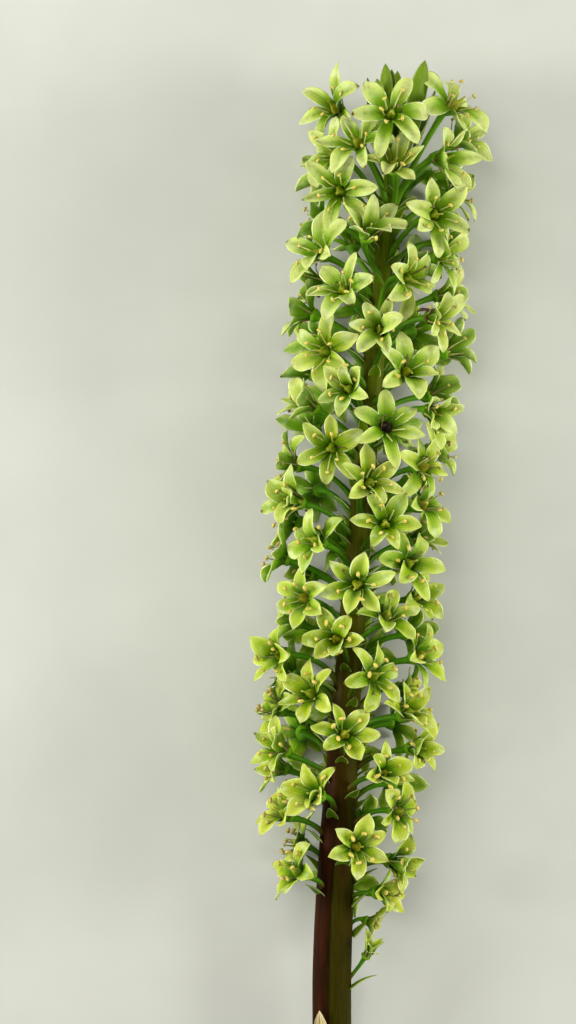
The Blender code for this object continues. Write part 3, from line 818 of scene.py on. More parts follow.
def petal_greens(made, along, edge, back, floret, petal, high):
    """The petals' colours: creamier near the coma, greener behind, with olive clouds and pale clouds of
    painted sheen.
    """
    greens = ((0.0, 88, 126, 0), (1.0, 190, 208, 112), (0.35, 113, 150, 0), (0.65, 143, 170, 4))
    low = made.fade(made.height_in_head(), 0.08, -0.03, 0.0, 0.24)
    clouds = made.fade(made.noise(1.7 * MM), 0.42, 0.64, 0.0, 0.48)
    olive = made.times(made.fade(edge, 0.6, 0.05), clouds)
    # painted sheen: pale patches on the petals' outer halves stand in for reflected light
    painted_sheen = made.times(made.fade(made.noise(4.0 * MM), 0.46, 0.72), made.fade(along, 0.35, 0.85, 0.0, 0.58))
    return made.layered(
        made.ramp(along, *greens),
        (made.fade(floret, 0.5, 1.0, 0.0, 0.5), (166, 168, 16)),
        (made.fade(petal, 0.45, 1.0, 0.0, 0.55), (100, 146, 0)),
        (made.fade(petal, 0.40, 0.0, 0.0, 0.35), (200, 212, 100)),
        (made.times(high, made.fade(along, 0.25, 0.85, 0.0, 0.70)), (197, 203, 142)),
        (made.times(low, made.fade(along, 0.10, 0.55)), (198, 182, 62)),
        (made.times(olive, high), (148, 132, 34)),
        (made.times(back, 0.55), (98, 154, 4)),
        (painted_sheen, (220, 233, 186)),
    )


def petal_markings(made, colour, along, edge, lines, high):
    """Soft pale edges, a green midrib and veins, a deep green throat and a thin pale rim, partly the pale
    margin and partly painted highlight.
    """
    soft = made.times(made.fade(edge, 0.30, 1.0), made.fade(along, 0.25, 0.7, 0.0, 0.56))
    midrib = made.times(made.fade(edge, 0.55, 0.0), made.fade(along, 0.95, 0.4, 0.0, 0.46))
    ragged = made.times(made.maths("SUBTRACT", made.noise(1.4 * MM), 0.5), 0.22)
    streaked = made.maths("SUBTRACT", made.maths("ADD", along, ragged), made.times(lines, 0.07))
    throat = made.times(made.fade(streaked, 0.48, 0.08, 0.0, 0.98), made.fade(high, 0.2, 1.0, 1.0, 0.55))
    # the thin rim is the petals' pale margin, made near white as painted highlight along the edges
    rim = made.times(made.fade(edge, 0.84, 0.97), made.fade(made.noise(2.5 * MM), 0.40, 0.6, 0.0, 0.75))
    return made.layered(
        colour,
        (soft, (209, 222, 122)),
        (midrib, (80, 134, 0)),
        (made.times(lines, 0.12), (86, 136, 0)),
        (throat, (48, 92, 0)),
        (made.times(rim, made.fade(along, 0.1, 0.4)), (234, 242, 208)),
    )


def petal_damage(made, colour, along, petal, withered):
    """Brown spots and burnt tips on some petals, and the withered ones brown all over."""
    spots = made.fade(made.noise(0.9 * MM, 1.0), 0.69, 0.75, 0.0, 0.6)
    tip = made.fade(made.maths("ADD", along, made.times(made.noise(1.6 * MM), 0.16)), 1.0, 1.07)
    return made.layered(
        colour,
        (made.times(spots, made.fade(petal, 0.5, 0.8)), (120, 96, 30)),
        (made.times(tip, made.fade(petal, 0.72, 0.78)), (96, 66, 22)),
        (withered, made.ramp(made.noise(2.2 * MM), (0.30, 70, 44, 24), (0.70, 168, 160, 60))),
    )


def petal_finish():
    made = Finish("petal", 0.48, Subsurface_Weight=0.30, Subsurface_Scale=0.0012, Specular_IOR_Level=0.07)
    made.shader.inputs["Subsurface Radius"].default_value = (0.7, 1.0, 0.05)
    along, across, back = made.shared("place")
    floret, petal, withered = made.shared("nature")
    edge = made.to_edge(across)
    lines = made.veins(across, 8.0)
    high = made.fade(made.height_in_head(), 0.0, 0.19)
    green = petal_greens(made, along, edge, back, floret, petal, high)
    marked = petal_markings(made, green, along, edge, lines, high)
    colour = petal_damage(made, marked, along, petal, withered)
    creased = made.maths("ADD", made.times(lines, -0.35), made.times(made.noise(0.6 * MM), 0.8))
    relief = made.maths("SUBTRACT", creased, made.fade(edge, 0.20, 0.0, 0.0, 0.5))
    roughness = made.fade(made.noise(1.5 * MM), 0.3, 0.7, 0.40, 0.58)
    return made.finished(colour, relief, 0.16 * MM, roughness)


def stalk_finish():
    made = Finish("stalk", 0.45, Subsurface_Weight=0.12, Subsurface_Scale=0.001, Specular_IOR_Level=0.10)
    along, _, low = made.shared("place")
    green = made.ramp(along, (0.0, 52, 80, 2), (1.0, 110, 160, 12), (0.25, 50, 98, 2), (0.75, 66, 122, 4))
    lighter = made.fade(made.height_in_head(), 0.06, 0.19, 0.0, 0.55)
    streaks = made.fade(made.noise(0.8 * MM, 3.0), 0.40, 0.65, 0.0, 0.4)
    foot = made.times(made.fade(along, 0.4, 0.0), low)
    colour = made.layered(green, (lighter, (98, 146, 24)), (streaks, (84, 126, 6)), (foot, (78, 44, 14)))
    return made.finished(colour, made.noise(0.5 * MM, 3.0), 0.06 * MM)


def ovary_finish():
    made = Finish("ovary", 0.42, Subsurface_Weight=0.1, Subsurface_Scale=0.001, Specular_IOR_Level=0.25)
    along, floret, dark = made.shared("place")
    green = made.ramp(along, (0.0, 64, 96, 0), (1.0, 176, 180, 80), (0.5, 112, 134, 8), (0.62, 158, 168, 50))
    browned = made.fade(floret, 0.3, 1.0, 0.0, 0.65)
    mottled = made.fade(made.noise(1.1 * MM), 0.45, 0.7, 0.0, 0.5)
    colour = made.layered(green, (browned, (132, 118, 16)), (mottled, (58, 88, 10)), (dark, (34, 16, 18)))
    return made.finished(colour, made.noise(0.5 * MM), 0.05 * MM)


def stamen_finish(name, fresh, tip, greened=0.0):
    """greened is how green the lowest florets' own are, in the dark of their throats."""
    made = Finish(name, 0.5, Subsurface_Weight=0.15, Subsurface_Scale=0.0008)
    along, _, withered = made.shared("place")
    base = made.mix(along, shade(*fresh), shade(*tip))
    if greened:
        low = made.fade(made.height_in_head(), 0.12, 0.0, 0.0, greened)
        base = made.layered(base, (made.times(low, made.fade(along, 1.0, 0.6)), (84, 124, 12)))
    mottled = made.fade(made.noise(0.5 * MM), 0.4, 0.7, 0.0, 0.35)
    brown = made.ramp(made.noise(0.9 * MM), (0.3, 44, 24, 22), (0.75, 118, 82, 48))
    colour = made.layered(base, (mottled, (150, 122, 50)), (withered, brown))
    return made.finished(colour, made.noise(0.25 * MM), 0.05 * MM)


def stem_flush(made, aside, above, along):
    """Where the stem is burgundy: its left, its underside and patches, less so higher up."""
    wander = made.times(made.maths("SUBTRACT", made.noise(9.0 * MM), 0.5), 0.16)
    left = made.fade(made.maths("ADD", aside, wander), 0.42, 0.34)
    under = made.fade(above, 0.35, 0.12)
    patches = made.fade(made.noise(14.0 * MM, 3.0, (1.0, 0.3, 1.0)), 0.50, 0.66, 0.0, 0.8)
    flushed = made.maths("MAXIMUM", made.maths("MAXIMUM", left, under), patches)
    return made.times(flushed, made.fade(along, 0.42, 0.62, 1.0, 0.28))


def stem_finish():
    made = Finish("burgundy stem", 0.55, Specular_IOR_Level=0.03)
    aside, above, along = made.shared("place")
    olives = ((0.0, 50, 46, 0), (1.0, 86, 108, 4), (0.35, 46, 42, 0), (0.55, 64, 62, 2), (0.8, 76, 88, 4))
    grain = made.noise(2.5 * MM, 3.0, (1.0, 0.12, 1.0))
    burgundy = made.ramp(grain, (0.3, 30, 11, 3), (0.75, 60, 25, 5))
    coloured = made.mix(stem_flush(made, aside, above, along), made.ramp(along, *olives), burgundy)
    streaks = made.fade(made.noise(0.7 * MM, 3.0, (1.0, 0.04, 1.0)), 0.42, 0.62, 0.0, 0.55)
    # painted shade: the groove on top of the lower stem is darkened nearly to black
    groove = made.fade(made.gap(aside, 0.395), 0.0, 0.075, 0.8, 0.0)
    on_top = made.times(made.fade(above, 0.5, 0.7), made.fade(along, 0.5, 0.4))
    flecks = made.fade(made.noise(0.8 * MM, 1.0, (1.0, 0.5, 1.0)), 0.66, 0.72, 0.0, 0.5)
    darker = made.mix(0.55, coloured, shade(24, 17, 0))
    groove_shade = (made.times(groove, on_top), (18, 12, 0))
    colour = made.layered(coloured, (streaks, darker), groove_shade, (flecks, (54, 24, 4)))
    relief = made.noise(0.6 * MM, 3.0, (1.0, 0.05, 1.0))
    return made.finished(colour, relief, 0.12 * MM, made.fade(made.noise(3.0 * MM), 0.3, 0.7, 0.42, 0.58))


def cut_finish():
    made = Finish("cut face", 0.55, Subsurface_Weight=0.2, Subsurface_Scale=0.001)
    to_rim, _, _ = made.shared("place")
    flesh = made.ramp(to_rim, (0.0, 186, 196, 140), (1.0, 92, 96, 44), (0.8, 160, 176, 104))
    strands = made.node("ShaderNodeTexVoronoi", [("Scale", 900.0)]).outputs["Distance"]
    colour = made.layered(flesh, (made.fade(strands, 0.16, 0.30, 0.6, 0.0), (112, 130, 66)))
    return made.finished(colour, made.noise(0.5 * MM), 0.1 * MM)


def leaf_finish(name, dark, light, pale_edge):
    made = Finish(name, 0.42, Subsurface_Weight=0.18, Subsurface_Scale=0.001, Specular_IOR_Level=0.15)
    made.shader.inputs["Subsurface Radius"].default_value = (0.6, 1.0, 0.2)
    along, across, _ = made.shared("place")
    leaf, _, _ = made.shared("nature")
    lines = made.veins(across, 13.0)
    layers = [
        (made.fade(leaf, 0.0, 1.0, 0.0, 0.4), (120, 152, 14)),
        (made.times(lines, 0.35), (52, 88, 4)),
        (made.fade(made.noise(5.0 * MM, 3.0), 0.4, 0.7, 0.0, 0.35), (134, 160, 24)),
        (made.fade(made.to_edge(across), 0.84, 0.98, 0.0, pale_edge), (206, 214, 150)),
    ]
    green = made.mix(made.fade(along, 0.0, 0.9), shade(*dark), shade(*light))
    relief = made.maths("ADD", lines, made.noise(0.7 * MM))
    return made.finished(made.layered(green, *layers), relief, 0.1 * MM)


def papery_finish():
    made = Finish("papery bract", 0.6, Subsurface_Weight=0.2, Subsurface_Scale=0.0008)
    along, across, _ = made.shared("place")
    dry = made.mix(along, shade(196, 178, 120), shade(232, 222, 184))
    colour = made.layered(dry, (made.times(made.veins(across, 4.0), 0.75), (84, 52, 34)))
    return made.finished(colour, made.noise(0.6 * MM), 0.1 * MM)


def floor_finish():
    made = Finish("pale floor", 0.85)
    cloud = made.fade(made.noise(0.11, 4.0), 0.35, 0.68)
    return made.finished(made.mix(cloud, shade(186, 188, 187), shade(195, 197, 196)))


# The florets


def petal_midlines(florets, random, share, length, inner):
    """Each petal's middle line in its own upright plane: its slope, and how far it is out and ahead."""
    shape = length.shape
    curl = random.normal(*PETAL_CURL, shape)[..., None]
    droop = np.where(florets["withered"][:, None] > 0.0, WITHERED_DROOP, 0.0)
    slope = (florets["opening"] + droop)[..., None] + curl * (share - PETAL_STRAIGHT_AT)
    slope -= random.uniform(*PETAL_HOOD, shape)[..., None] * smoothstep(PETAL_HOOD_FROM, 1.0, share)
    uneven = random.normal(0.0, PETAL_SLOPE_SPREAD, shape)[..., None]
    slope += uneven + random.normal(0.0, FLOWER_SLOPE_SPREAD, (FLORETS, 1, 1))
    out, ahead = walked((slope[..., 1:] + slope[..., :-1]) / 2.0, np.diff(share) * length[..., None])
    foot_height = TEPAL_FOOT_HEIGHT + (inner - 0.5) * PETAL_INNER
    return slope, TEPAL_FOOT + out, ahead + foot_height[..., None]


def petal_widths(florets, random, share, inner):
    """Half of each petal's width at each of its rows."""
    height, shape = florets["centre"][:, 1:2], florets["length"].shape
    foot = np.sin(np.clip(share / PETAL_BROADEST, 0.0, 1.0) * math.pi / 2.0) ** 1.3
    blunt = (random.uniform(*PETAL_BLUNT, shape) + np.interp(height, HEAD_AT, PETAL_POINT))[..., None]
    tip = (1.0 - np.clip((share - PETAL_BROADEST) / (1.0 - PETAL_BROADEST), 0.0, 1.0) ** 2.4) ** blunt
    outline = np.maximum((PETAL_FOOT_WIDTH + (1.0 - PETAL_FOOT_WIDTH) * foot) * tip, PETAL_TIP_WIDTH)
    half = np.interp(height, HEAD_AT, PETAL_HALF_WIDTH) + PETAL_INNER * (inner - 0.5)
    half = half * random.uniform(*PETAL_WIDTH_RANGE, shape)
    half[BUD] *= BUD_WIDTH
    narrow = np.where(florets["withered"][:, None] > 0.0, WITHERED_WIDTH, 1.0)
    return half[..., None] * outline * narrow[..., None]


def petal_surfaces(random, share, length, width):
    """How far each corner of a petal's grid is to the side of its middle line, and above it."""
    shape, across = length.shape, PETAL_ACROSS
    depth = random.uniform(*PETAL_CHANNEL, shape)[..., None] * width
    channel = depth[..., None] * np.abs(across) ** 1.8
    phase = random.uniform(0.0, 2.0 * math.pi, shape)[..., None, None]
    waves = 2.0 * math.pi * (PETAL_RIPPLES * share[:, None] + 0.2 * across)
    ripple = PETAL_RIPPLE * across**2 * np.sin(waves + phase)
    twist = random.normal(0.0, PETAL_TWIST, shape)[..., None] * share
    sway = random.normal(0.0, PETAL_SWAY, shape)[..., None] * share**2 * length[..., None]
    reach = width[..., None] * across
    aside = reach * np.cos(twist)[..., None] + sway[..., None]
    return aside, channel + ripple + reach * np.sin(twist)[..., None]


def petals(florets, random):
    """Every petal as a thin closed blade: narrow foot, broad middle, hooded tip, edges raised."""
    share = 1.0 - (1.0 - np.linspace(0.0, 1.0, PETAL_ROWS)) ** 1.3
    inner = (np.arange(TEPALS) % 2)[None, :]
    length = florets["length"] * np.interp(florets["centre"][:, 1:2], HEAD_AT, PETAL_STRETCH)
    length[BUD] *= BUD_STRETCH
    slope, out, ahead = petal_midlines(florets, random, share, length, inner)
    width = petal_widths(florets, random, share, inner)
    aside, raised = petal_surfaces(random, share, length, width)
    thick = PETAL_THICKNESS * (1.0 - 0.35 * PETAL_ACROSS**2) * (np.abs(PETAL_ACROSS) < 1.0)

    def laid(side, height):
        radial = out[..., None] - np.cos(slope)[..., None] * height
        forward = ahead[..., None] + np.sin(slope)[..., None] * height
        return petal_points(florets, radial, side, forward, around(TEPALS)[:, None, None])

    corners = closed_blades(aside, raised, thick * (1.0 - 0.45 * share)[:, None], laid)
    count, size, _ = corners.shape
    quads, foot, tip = blade_faces(PETAL_ROWS, len(PETAL_ACROSS))
    faces = repeated(count, size, quads, np.array([foot, tip]))
    tint, spoilt = np.repeat(florets["tint"], TEPALS), np.repeat(florets["withered"], TEPALS)
    nature = np.stack([tint, random.uniform(0.0, 1.0, count), spoilt], axis=1)[:, None]
    stem_piece("petals", corners, faces, [petal_finish()], blade_place(share, PETAL_ACROSS), nature=nature)


def ovaries(florets, random):
    """Three-lobed ovaries that narrow into a style."""
    turns = around(OVARY_SIDES)
    furrows = OVARY_FURROW[:, None] * (0.5 - 0.5 * np.cos(3.0 * turns)) ** 2
    wide = OVARY_RADIUS[:, None] * (1.0 - furrows)
    lean = random.normal(0.0, STYLE_LEAN, (FLORETS, 2))
    spin = random.uniform(0.0, 2.0 * math.pi, FLORETS)[:, None, None]
    above = 2.0 * np.clip(OVARY_HEIGHT - STYLE_FROM, 0.0, None)
    right = wide * np.cos(turns + spin) + (lean[:, :1] * above)[..., None]
    upright = wide * np.sin(turns + spin) + (lean[:, 1:] * above)[..., None]
    corners = in_florets(florets, right, upright, OVARY_HEIGHT[:, None])
    rings, sides = len(OVARY_HEIGHT), OVARY_SIDES
    size = rings * sides
    ends = np.array([np.arange(sides - 1, -1, -1), np.arange(size - sides, size)])
    faces = repeated(FLORETS, size, grid_faces(rings, sides, closed=True), ends)
    along = (OVARY_HEIGHT / OVARY_HEIGHT[-1])[:, None]
    place = for_each(along, random.uniform(0.0, 1.0, FLORETS), florets["spent"])
    stem_piece("ovaries", corners, faces, [ovary_finish()], place)


def stamen_paths(florets, random, turns, length, shrivelled):
    """The middle lines of the filaments, each curved outwards, or curled up where it has shrivelled."""
    shape = shrivelled.shape
    share = np.linspace(0.0, 1.0, STAMEN_POINTS)
    lean = random.normal(*STAMEN_LEAN, shape) * florets["opening"] / TEPAL_OPENING
    bend = random.normal(*STAMEN_BEND, shape)
    bend += np.where(shrivelled, random.choice(SHRIVELLED_BENDS, shape), 0.0)
    slope = lean[..., None] + bend[..., None] * (share - 0.3)
    out, ahead = walked(slope[..., 1:], length[..., None] / (STAMEN_POINTS - 1))
    out, ahead = out + STAMEN_FOOT, ahead + STAMEN_FOOT_HEIGHT
    drift = np.where(shrivelled, random.normal(0.0, 2.0, shape), random.normal(0.0, 0.4, shape)) * MM
    points = petal_points(florets, out, drift[..., None] * share**2, ahead, turns[..., None])
    return points.reshape(-1, STAMEN_POINTS, 3)


def filaments(florets, paths, shrivelled, browned):
    """The stamens' stalks, thicker at the foot and pale towards the tip."""
    radii = np.interp(np.linspace(0.0, 1.0, STAMEN_POINTS), [0.0, 0.3, 1.0], FILAMENT_RADIUS)
    radii = radii * np.where(shrivelled, SHRIVELLED_WIDTH, 1.0)[:, None]
    corners, faces, along = tubes(paths, radii, 5)
    finish = stamen_finish("filament", (166, 180, 72), (214, 216, 150), 0.75)
    place = for_each(along, np.repeat(florets["tint"], TEPALS), np.maximum(shrivelled, 0.8 * browned))
    stem_piece("filaments", corners, faces, [finish], place)


def anthers(florets, random, paths, fate, shrivelled, browned):
    """An anther across the end of most filaments. Old florets lack some, spent ones and the bud all."""
    kept = (fate < ANTHER_KEPT_FATE) | (random.uniform(0.0, 1.0, fate.size) < ANTHER_KEPT)
    kept &= np.repeat(florets["spent"], TEPALS) == 0.0
    kept[BUD * TEPALS : (BUD + 1) * TEPALS] = False
    tips, old = paths[kept, -1], shrivelled[kept]
    ahead = unit(tips - paths[kept, -2])
    across = unit(np.cross(ahead, random.normal(0.0, 1.0, ahead.shape)))
    run = unit(across + random.normal(0.0, 0.35, (len(tips), 1)) * ahead)
    grown = np.repeat(np.interp(florets["centre"][:, 1], HEAD_AT, ANTHER_SIZE), TEPALS)
    size = grown[kept] * np.where(old, OLD_ANTHER, 1.0)
    half = random.uniform(*ANTHER_HALF, len(tips)) * MM * size
    stations = np.linspace(-1.0, 1.0, len(ANTHER_RADIUS))
    lines = tips[:, None] + run[:, None] * (stations * half[:, None])[..., None]
    lines = lines - (ahead * ANTHER_BOW)[:, None] * (stations**2)[:, None]
    corners, faces, along = tubes(lines, ANTHER_RADIUS * size[:, None], 6)
    finish = stamen_finish("anther", (198, 178, 60), (222, 208, 116))
    spoilt = np.maximum(0.85 * old, 0.45 * browned[kept])
    place = for_each(along, random.uniform(0.0, 1.0, len(tips)), spoilt)
    stem_piece("anthers", corners, faces, [finish], place)


def stamens(florets, random):
    """Six stamens a floret. Some have shrivelled, and those of the florets at the sides are browned."""
    shape = (FLORETS, TEPALS)
    turns = around(TEPALS) + random.normal(0.0, STAMEN_TURN_SPREAD, shape)
    fate = random.uniform(0.0, 1.0, shape) + 0.35 * florets["age"][:, None]
    shrivelled = (fate > SHRIVELLED_FATE) | (florets["withered"][:, None] > 0.0)
    length = random.uniform(*STAMEN_LENGTH, shape) * MM * np.where(shrivelled, SHRIVELLED_LENGTH, 1.0)
    length = length * np.interp(florets["centre"][:, 1:2], HEAD_AT, STAMEN_STRETCH)
    beside = smoothstep(0.75, 0.35, florets["facing"][:, 2]) * random.uniform(0.2, 1.0, FLORETS)
    browned = np.repeat(beside, TEPALS)
    paths = stamen_paths(florets, random, turns, length, shrivelled)
    filaments(florets, paths, shrivelled.ravel(), browned)
    anthers(florets, random, paths, fate.ravel(), shrivelled.ravel(), browned)


def stalks(florets):
    """Bowed stalks that widen into the base of each flower."""
    root, middle, neck = (point[:, None] for point in florets["line"])
    control = 2.0 * middle - (root + neck) / 2.0
    share = np.linspace(0.0, 1.0, STALK_POINTS)[None, :, None]
    line = (1 - share) ** 2 * root + 2 * share * (1 - share) * control + share**2 * neck
    line = line + (florets["flower"] - florets["centre"])[:, None] * share**2
    growth = florets["growth"][:, None]
    cup = [florets["flower"] + florets["facing"] * growth * depth * MM for depth in CUP_AT]
    paths = np.concatenate([line, np.stack(cup, axis=1)], axis=1)
    corners, faces, along = tubes(paths, STALK_RADIUS * np.maximum(growth, SLIMMEST), 10)
    low = smoothstep(0.6, 0.0, np.linspace(0.0, 1.0, FLORETS))
    stem_piece("stalks", corners, faces, [stalk_finish()], for_each(along, florets["tint"], low))


def bract(point, forward, upward, aside, length, half, rows, lift_by, cup):
    """A small ovate blade that leaves along forward and bends towards upward."""
    share = np.linspace(0.0, 1.0, rows)
    foot = 0.85 + 0.15 * np.sin(np.clip(share / 0.3, 0, 1) * math.pi / 2.0)
    width = (half * np.maximum(foot * (1.0 - share**1.7), 0.02))[:, None]
    line = point + (share * length)[:, None] * forward + (lift_by * length * share**2)[:, None] * upward
    thick = BRACT_THICKNESS * (np.abs(BRACT_ACROSS) < 1.0)
    return flat_blade(line, aside, upward, width * BRACT_ACROSS, cup * width * BRACT_ACROSS**2, thick)


def bracts(florets, random):
    """A small green bract under each stalk."""
    blades, tints = [], []
    for foot, outward, forward in zip(florets["foot"], florets["outward"], florets["forward"]):
        point = foot - forward * BRACT_BELOW - outward * BRACT_DEPTH
        lean = unit(forward * 0.75 + outward * random.uniform(0.5, 0.8))
        up = unit(outward - lean * (outward @ lean))
        broad = np.interp(foot[1], LOW_BRACTS, LOW_BRACTS_SIZE)
        length = random.uniform(*BRACT_LENGTH) * MM * broad
        half = random.uniform(*BRACT_HALF_WIDTH) * MM * broad
        aside = np.cross(forward, outward)
        blades.append(bract(point, lean, up, aside, length, half, BRACT_ROWS, BRACT_LIFT, BRACT_CUP))
        tints.append([[random.uniform(), 0.0, 0.0]])
    corners = np.concatenate(blades)
    quads, _, _ = blade_faces(BRACT_ROWS, len(BRACT_ACROSS))
    place = blade_place(np.linspace(0.0, 1.0, BRACT_ROWS), BRACT_ACROSS)
    finish = leaf_finish("bract", (62, 96, 2), (110, 142, 12), 0.75)
    faces = repeated(FLORETS, len(place), quads)
    stem_piece("bracts", corners, faces, [finish], place, nature=np.array(tints))


def dry_bract():
    """One dry papery bract lower down the stem."""
    point, outward, forward, aside = leaf_foot(DRY_BRACT_AT, DRY_BRACT_TURN, -DRY_BRACT_DEPTH)
    lean = unit(forward + 0.25 * outward)
    shape = (*DRY_BRACT_SIZE, DRY_BRACT_ROWS, DRY_BRACT_LIFT, DRY_BRACT_CUP)
    corners = bract(point, lean, outward, aside, *shape)
    quads, _, _ = blade_faces(DRY_BRACT_ROWS, len(BRACT_ACROSS))
    place = blade_place(np.linspace(0.0, 1.0, DRY_BRACT_ROWS), BRACT_ACROSS)
    stem_piece("dry_bract", corners, quads.tolist(), [papery_finish()], place)


def withered_bits(florets, random):
    """Dark curled shreds of spent stamens and petals on a few florets."""
    owners = np.repeat(np.nonzero(florets["spoilt"])[0], SHREDS_EACH)
    facing, points = florets["facing"][owners], len(SHRED_RADIUS)
    steps = 0.35 * random.normal(0.0, 1.0, (len(owners), points, 3))
    steps += random.normal(0.0, 1.0, (len(owners), 1, 3)) + 1.1 * facing[:, None]
    steps = unit(steps) * SHRED_FIRST_STEP
    turn = random.normal(0.0, 1.0, (len(owners), 3))
    for number in range(1, points):
        before = steps[:, number - 1]
        steps[:, number] = unit(before + 0.45 * np.cross(turn, before)) * SHRED_STEP
    start = florets["flower"][owners] + facing * SHRED_START
    radii = SHRED_RADIUS * random.uniform(0.5, 1.1, (len(owners), 1))
    corners, faces, along = tubes(start[:, None] + np.cumsum(steps, axis=1), radii, 6)
    finish = stamen_finish("withered", (60, 36, 20), (110, 74, 40))
    everywhere = np.ones(len(owners))
    stem_piece("withered_bits", corners, faces, [finish], for_each(along, everywhere, everywhere))


# The stem


def stem_skin():
    """Rings round the stem with its groove, shallow ribs and uneven joints, and each corner's place."""
    along = np.linspace(0.0, STEM_LENGTH, STEM_RINGS)
    turns = around(STEM_SIDES)
    _, side, up = stem_frame(along)
    run = along[:, None]
    bare = smoothstep(*GROOVE_FADES, run / STEM_LENGTH)
    groove = GROOVE_DEPTH * np.exp(-(((turns - GROOVE_TURN) / GROOVE_WIDTH) ** 2)) * bare
    ribs = STEM_RIBS * np.sin(9.0 * turns + 3.0 * np.sin(run * 22.0)) + STEM_FINE_RIBS * np.sin(23.0 * turns)
    swell = STEM_SWELLINGS * np.sin(run * 90.0) * np.sin(turns * 2.0 + run * 40.0)
    radius = stem_radius(run) * STEM_SLIMMER + ribs + swell - groove
    ring = turned(side[:, None], up[:, None], turns)
    place = np.broadcast_arrays(np.cos(turns) / 2.0 + 0.5, np.sin(turns) / 2.0 + 0.5, run / STEM_LENGTH)
    return stem_point(along)[:, None] + radius[..., None] * ring, np.stack(place, -1)


def cut_face(rim):
    """Rings from the rim of the square cut to its middle: corners, their shares to the rim, and faces."""
    random = np.random.default_rng(DETAIL_SEED)
    middle = stem_point(0.0)
    rings = [rim]
    for share in CUT_RINGS:
        ring = middle + (rim - middle) * share
        ring[:, 1] += random.normal(0.0, CUT_ROUGHNESS, len(rim)) + CUT_HOLLOW * (1.0 - share)
        rings.append(ring)
    corners = np.concatenate([*rings, [middle + [0.0, CUT_MIDDLE, 0.0]]])
    shares = np.concatenate([np.repeat((1.0, *CUT_RINGS), len(rim)), [0.0]])
    last, centre = len(CUT_RINGS) * len(rim), len(corners) - 1
    faces = grid_faces(len(rings), len(rim), closed=True).tolist()
    faces += [[last + corner, last + (corner + 1) % len(rim), centre] for corner in range(len(rim))]
    return corners, shares, faces


def stem():
    """The stem, closed at the tip and with its cut face at the foot."""
    corners, place = stem_skin()
    skin = grid_faces(STEM_RINGS, STEM_SIDES, closed=True)[:, ::-1].tolist()
    first = STEM_RINGS * STEM_SIDES
    skin.append(list(range(first - STEM_SIDES, first))[::-1])
    cut_corners, shares, cut_faces = cut_face(corners[0])
    cut = [[first + corner for corner in face] for face in cut_faces]
    stem_piece(
        "stem",
        np.concatenate([corners.reshape(-1, 3), cut_corners]),
        skin + cut,
        [stem_finish(), cut_finish()],
        np.concatenate([place.reshape(-1, 3), np.stack([shares] * 3, axis=-1)]),
        finish_of=[0] * len(skin) + [1] * len(cut),
    )


# The coma


def coma_outline(share):
    """A leaf's width along it, as a share of its widest."""
    width = np.interp(share, COMA_STATIONS, COMA_WIDTHS)
    width = np.convolve(np.pad(width, len(COMA_SMOOTHING) // 2, mode="edge"), COMA_SMOOTHING, mode="valid")
    tip = (1.0 - np.clip((share - COMA_TIP_FROM) / (1.0 - COMA_TIP_FROM), 0.0, 1.0) ** 2.8) ** 0.8
    width = np.where(share > COMA_TIP_FROM, width[np.searchsorted(share, COMA_TIP_FROM)] * tip, width)
    return np.maximum(width, COMA_TIP_WIDTH)


def coma_blade(whorl, number, share, random):
    """Corners of one leafy bract, channelled and a little wavy along its edges."""
    at, half_width, lean_foot, lean_tip, lengths = whorl
    gap = COMA_GAP + COMA_THICKNESS / 2.0
    point, outward, forward, aside = leaf_foot(at, coma_turn(whorl, number), gap)
    lean = np.radians(lean_foot + (lean_tip - lean_foot) * share)
    out, ahead = walked((lean[1:] + lean[:-1]) / 2.0, lengths[number] * MM / (len(share) - 1))
    inwards = forward * np.sin(lean)[:, None] - outward * np.cos(lean)[:, None]
    width = half_width * coma_outline(share)[:, None]
    run, across = share[:, None], np.abs(COMA_ACROSS)
    waves = np.sin(2.0 * math.pi * COMA_WAVES * run + random.uniform(0.0, 6.0))
    raised = COMA_CHANNEL * width * across**1.5 + COMA_WAVE * COMA_ACROSS**3 * waves * run
    thick = COMA_BLADE_THICKNESS * (1.0 - 0.4 * across) * (across < 1.0) * (1.0 - 0.5 * run)
    line = point + ahead[:, None] * forward + out[:, None] * outward
    return flat_blade(line, aside, inwards[:, None], width * COMA_ACROSS, raised, thick)


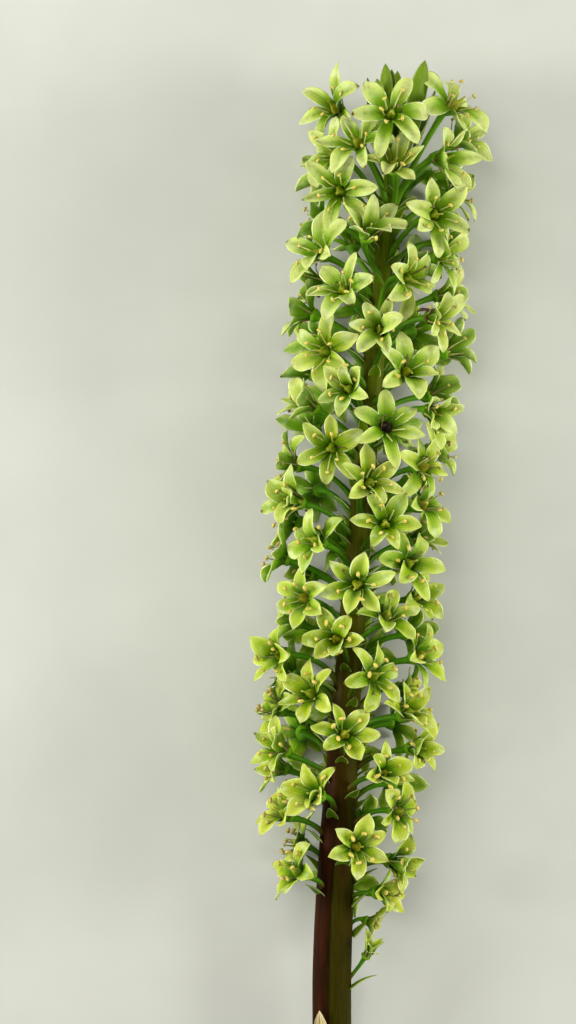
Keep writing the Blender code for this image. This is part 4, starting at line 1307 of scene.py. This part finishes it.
def coma():
    """The tuft's leafy bracts, each in place of its own solid."""
    random = np.random.default_rng(DETAIL_SEED + 1)
    finish = leaf_finish("coma leaf", (56, 84, 2), (98, 126, 10), 0.35)
    share = np.linspace(0.0, 1.0, COMA_ROWS)
    quads, foot, _ = blade_faces(COMA_ROWS, len(COMA_ACROSS))
    faces = quads.tolist() + [foot.tolist()]
    place = blade_place(share, COMA_ACROSS)
    for count, (whorl, number) in enumerate(COMA_LEAVES, 1):
        corners = coma_blade(whorl, number, share, random)
        nature = (random.uniform(), 0.0, 0.0)
        made = piece(f"coma_blade_{count:02d}", corners, faces, [finish], place, nature)
        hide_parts(f"coma_leaf_{count:02d}")


# Camera, light and floor


def camera():
    made = add("camera", bpy.data.cameras.new("camera"))
    made.data.lens = LENS
    made.data.sensor_width = SENSOR
    x, y, z = VIEW_CENTRE
    made.location = (x, y, z + VIEW_HEIGHT * LENS / SENSOR)
    made.data.clip_end = FARTHEST_SEEN
    bpy.context.scene.camera = made


def softbox(name, place, size, power, colour, spread):
    lamp = bpy.data.lights.new(name, "AREA")
    lamp.size = size
    lamp.energy = power
    lamp.spread = math.radians(spread)
    lamp.color = colour
    made = add(name, lamp)
    made.location = place
    made.rotation_euler = (Vector(LAMPS_AIM) - Vector(place)).to_track_quat("-Z", "Y").to_euler()


def studio():
    scene = bpy.context.scene
    scene.view_settings.view_transform = "Standard"
    scene.world = bpy.data.worlds.new("studio")
    scene.world.use_nodes = True
    room = scene.world.node_tree.nodes["Background"]
    room.inputs[0].default_value = ROOM_COLOUR
    room.inputs[1].default_value = ROOM_LIGHT
    for lamp in LAMPS:
        softbox(*lamp)
    mesh = bpy.data.meshes.new("floor")
    corners = [(x * FLOOR_REACH, y * FLOOR_REACH, 0.0) for x, y in ((-1, -1), (1, -1), (1, 1), (-1, 1))]
    mesh.from_pydata(corners, [], [(0, 1, 2, 3)])
    mesh.materials.append(floor_finish())
    floor = add("floor", mesh)


camera()
studio()
dressed = dressed_florets()
chance = np.random.default_rng(DETAIL_SEED + 2)
petals(dressed, chance)
ovaries(dressed, chance)
stamens(dressed, chance)
stalks(dressed)
bracts(dressed, chance)
dry_bract()
withered_bits(dressed, chance)
stem()
coma()
